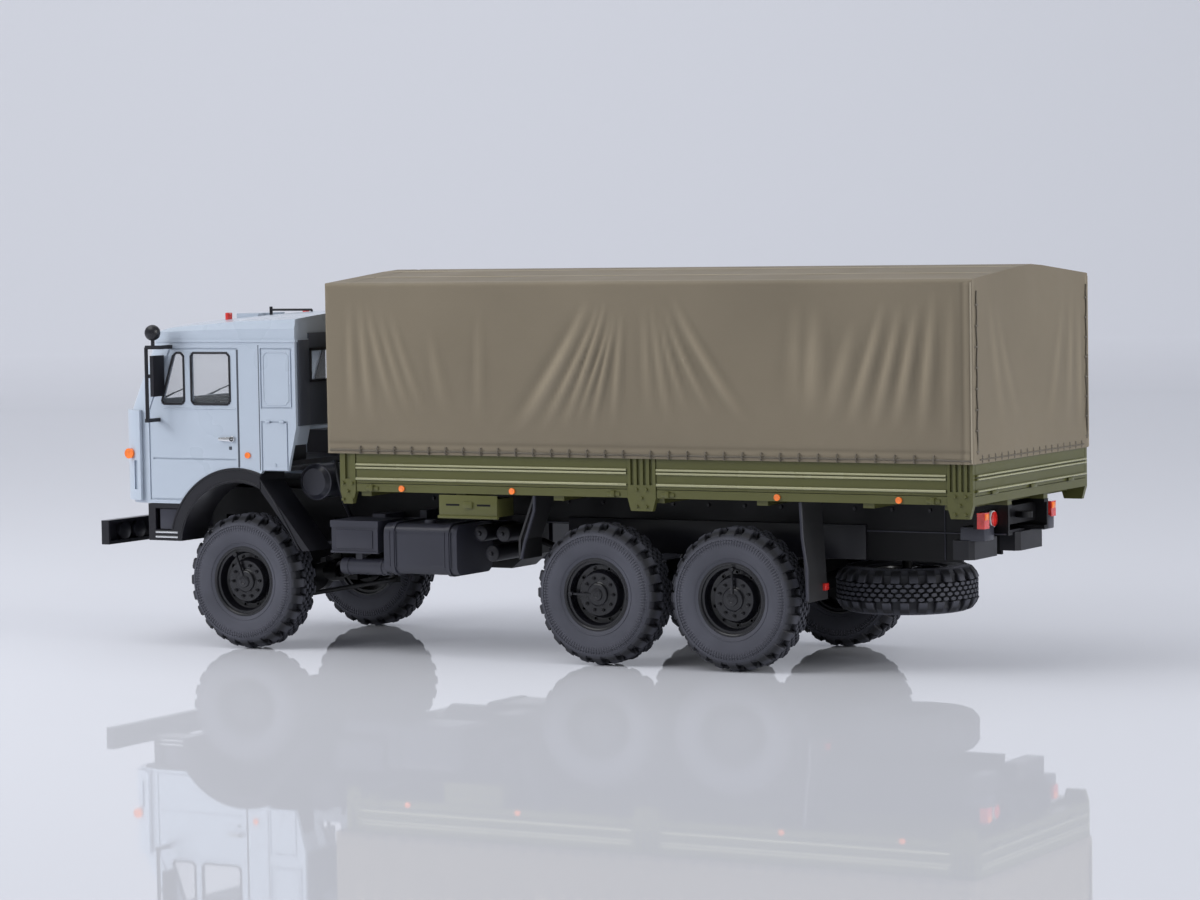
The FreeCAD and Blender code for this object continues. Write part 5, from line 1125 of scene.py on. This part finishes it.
def floor_finish():
    """Matt and pale, with a faint mirror that shows at a slant and ends where the floor turns up."""
    material, tree, shader = new_material("Pale glossy floor", {
        "Base Color": (0.745, 0.760, 0.825, 1), "Roughness": 0.9, "Specular IOR Level": 0.0,
    })
    shine = shader_node(tree, "BsdfGlossy", {"Roughness": 0.02})
    place = shader_node(tree, "TexCoord", {}).outputs["Object"]
    height = shader_node(tree, "SeparateXYZ", {"Vector": place}).outputs["Z"]
    share = ranged(tree, height, (0.0, 0.02), (0.42, 0.0))
    slant = ranged(tree, shader_node(tree, "LayerWeight", {}).outputs["Facing"], (0.45, 0.83))
    blend = shader_node(tree, "MixShader", {
        "Fac": reckon(tree, "MULTIPLY", share, slant), 1: shader.outputs["BSDF"], 2: shine.outputs["BSDF"],
    })
    feed(tree, tree.nodes["Material Output"], {"Surface": blend.outputs["Shader"]})
    return material


def sweep():
    """A pale floor that turns up into the backdrop."""
    let_go()
    bpy.ops.mesh.primitive_plane_add(size=1)
    piece = bpy.context.object
    piece.scale = (9, 4.4, 1)
    apply_place(piece)
    open_up(piece)
    pick(piece, lambda place, line: place.y < -2, "EDGE")
    bpy.ops.mesh.extrude_region_move(TRANSFORM_OT_translate={"value": (0, 0, 3.2)})
    pick(piece, lambda place, line: place.y < -2 and abs(place.z) < 0.01 and abs(line.x) > 0.9, "EDGE")
    bpy.ops.mesh.bevel(offset=1.1, segments=24, profile=0.5)
    shut()
    piece.rotation_euler = (0, 0, math.radians(FLOOR_TURN))
    piece.location = (0, 0, -FLOOR_DROP)
    apply_place(piece)
    bpy.ops.object.shade_smooth()
    piece.name = "floor_and_backdrop"
    piece.data.materials.append(floor_finish())


def stand_up(name, data):
    """A lamp or camera, in the scene."""
    stand = bpy.data.objects.new(name, data)
    bpy.context.scene.collection.objects.link(stand)
    return stand


def light_box(name, place, target, size, power, mirrored=True):
    """A rectangular softbox, which mirrors in what is glossy unless it is told not to."""
    lamp = bpy.data.lights.new(name, "AREA")
    lamp.shape = "RECTANGLE"
    lamp.size, lamp.size_y = size
    lamp.energy = power
    stand = stand_up(name, lamp)
    stand.visible_glossy = mirrored
    stand.location = place
    stand.rotation_euler = (Vector(target) - Vector(place)).to_track_quat("-Z", "Y").to_euler()


def studio():
    """An even room light with a cooler backdrop for the camera, and four softboxes."""
    world = bpy.data.worlds.new("Studio air")
    bpy.context.scene.world = world
    world.use_nodes = True
    tree = world.node_tree
    air = tree.nodes["Background"]
    feed(tree, air, {"Color": (0.93, 0.96, 1.0, 1), "Strength": 0.36})
    seen = shader_node(tree, "Background", {"Color": (0.58, 0.61, 0.69, 1), "Strength": 1.0})
    blend = shader_node(tree, "MixShader", {
        "Fac": shader_node(tree, "LightPath", {}).outputs["Is Camera Ray"], 1: air.outputs["Background"],
        2: seen.outputs["Background"],
    })
    feed(tree, tree.nodes["World Output"], {"Surface": blend.outputs["Shader"]})
    light_box("Overhead softbox", (0.32, 0.30, 0.92), (0.04, 0, 0.03), (1.0, 0.7), 4.3)
    light_box("Front softbox", (0.45, 0.40, 0.27), (0.06, 0.03, 0.05), (0.3, 0.3), 2.3, mirrored=False)
    light_box("Rear softbox", (-0.85, 0.02, 0.36), (-0.08, 0, 0.05), (0.4, 0.4), 4.0)
    light_box("Backdrop light", (0.95, -0.8, 1.7), (1.45, -1.7, 0.3), (2.6, 0.8), 14.0)


# The camera that was fitted to the photo: place in metres, and turns in degrees
CAMERA_PLACE = (-0.40415, 0.70959, 0.09036)
CAMERA_TURNS = (86.5811, 0.9350, -150.6862)
CAMERA_LENS = 117.13


def camera():
    lens = bpy.data.cameras.new("View")
    lens.sensor_width = 36
    lens.lens = CAMERA_LENS
    lens.clip_start = 0.01
    lens.clip_end = 50
    stand = stand_up("View", lens)
    stand.location = CAMERA_PLACE
    stand.rotation_euler = in_radians(CAMERA_TURNS)
    bpy.context.scene.camera = stand


def build():
    camera()
    dress_cad_pieces()
    wheels()
    tilt_cover()
    lacing()
    tilt_strips()
    cab_side_fittings()
    cab_front_fittings()
    bed_fittings()
    chassis_fittings()
    sweep()
    studio()
    bpy.context.scene.view_settings.view_transform = "Standard"
    let_go()


build()
bpy.context.view_layer.update()
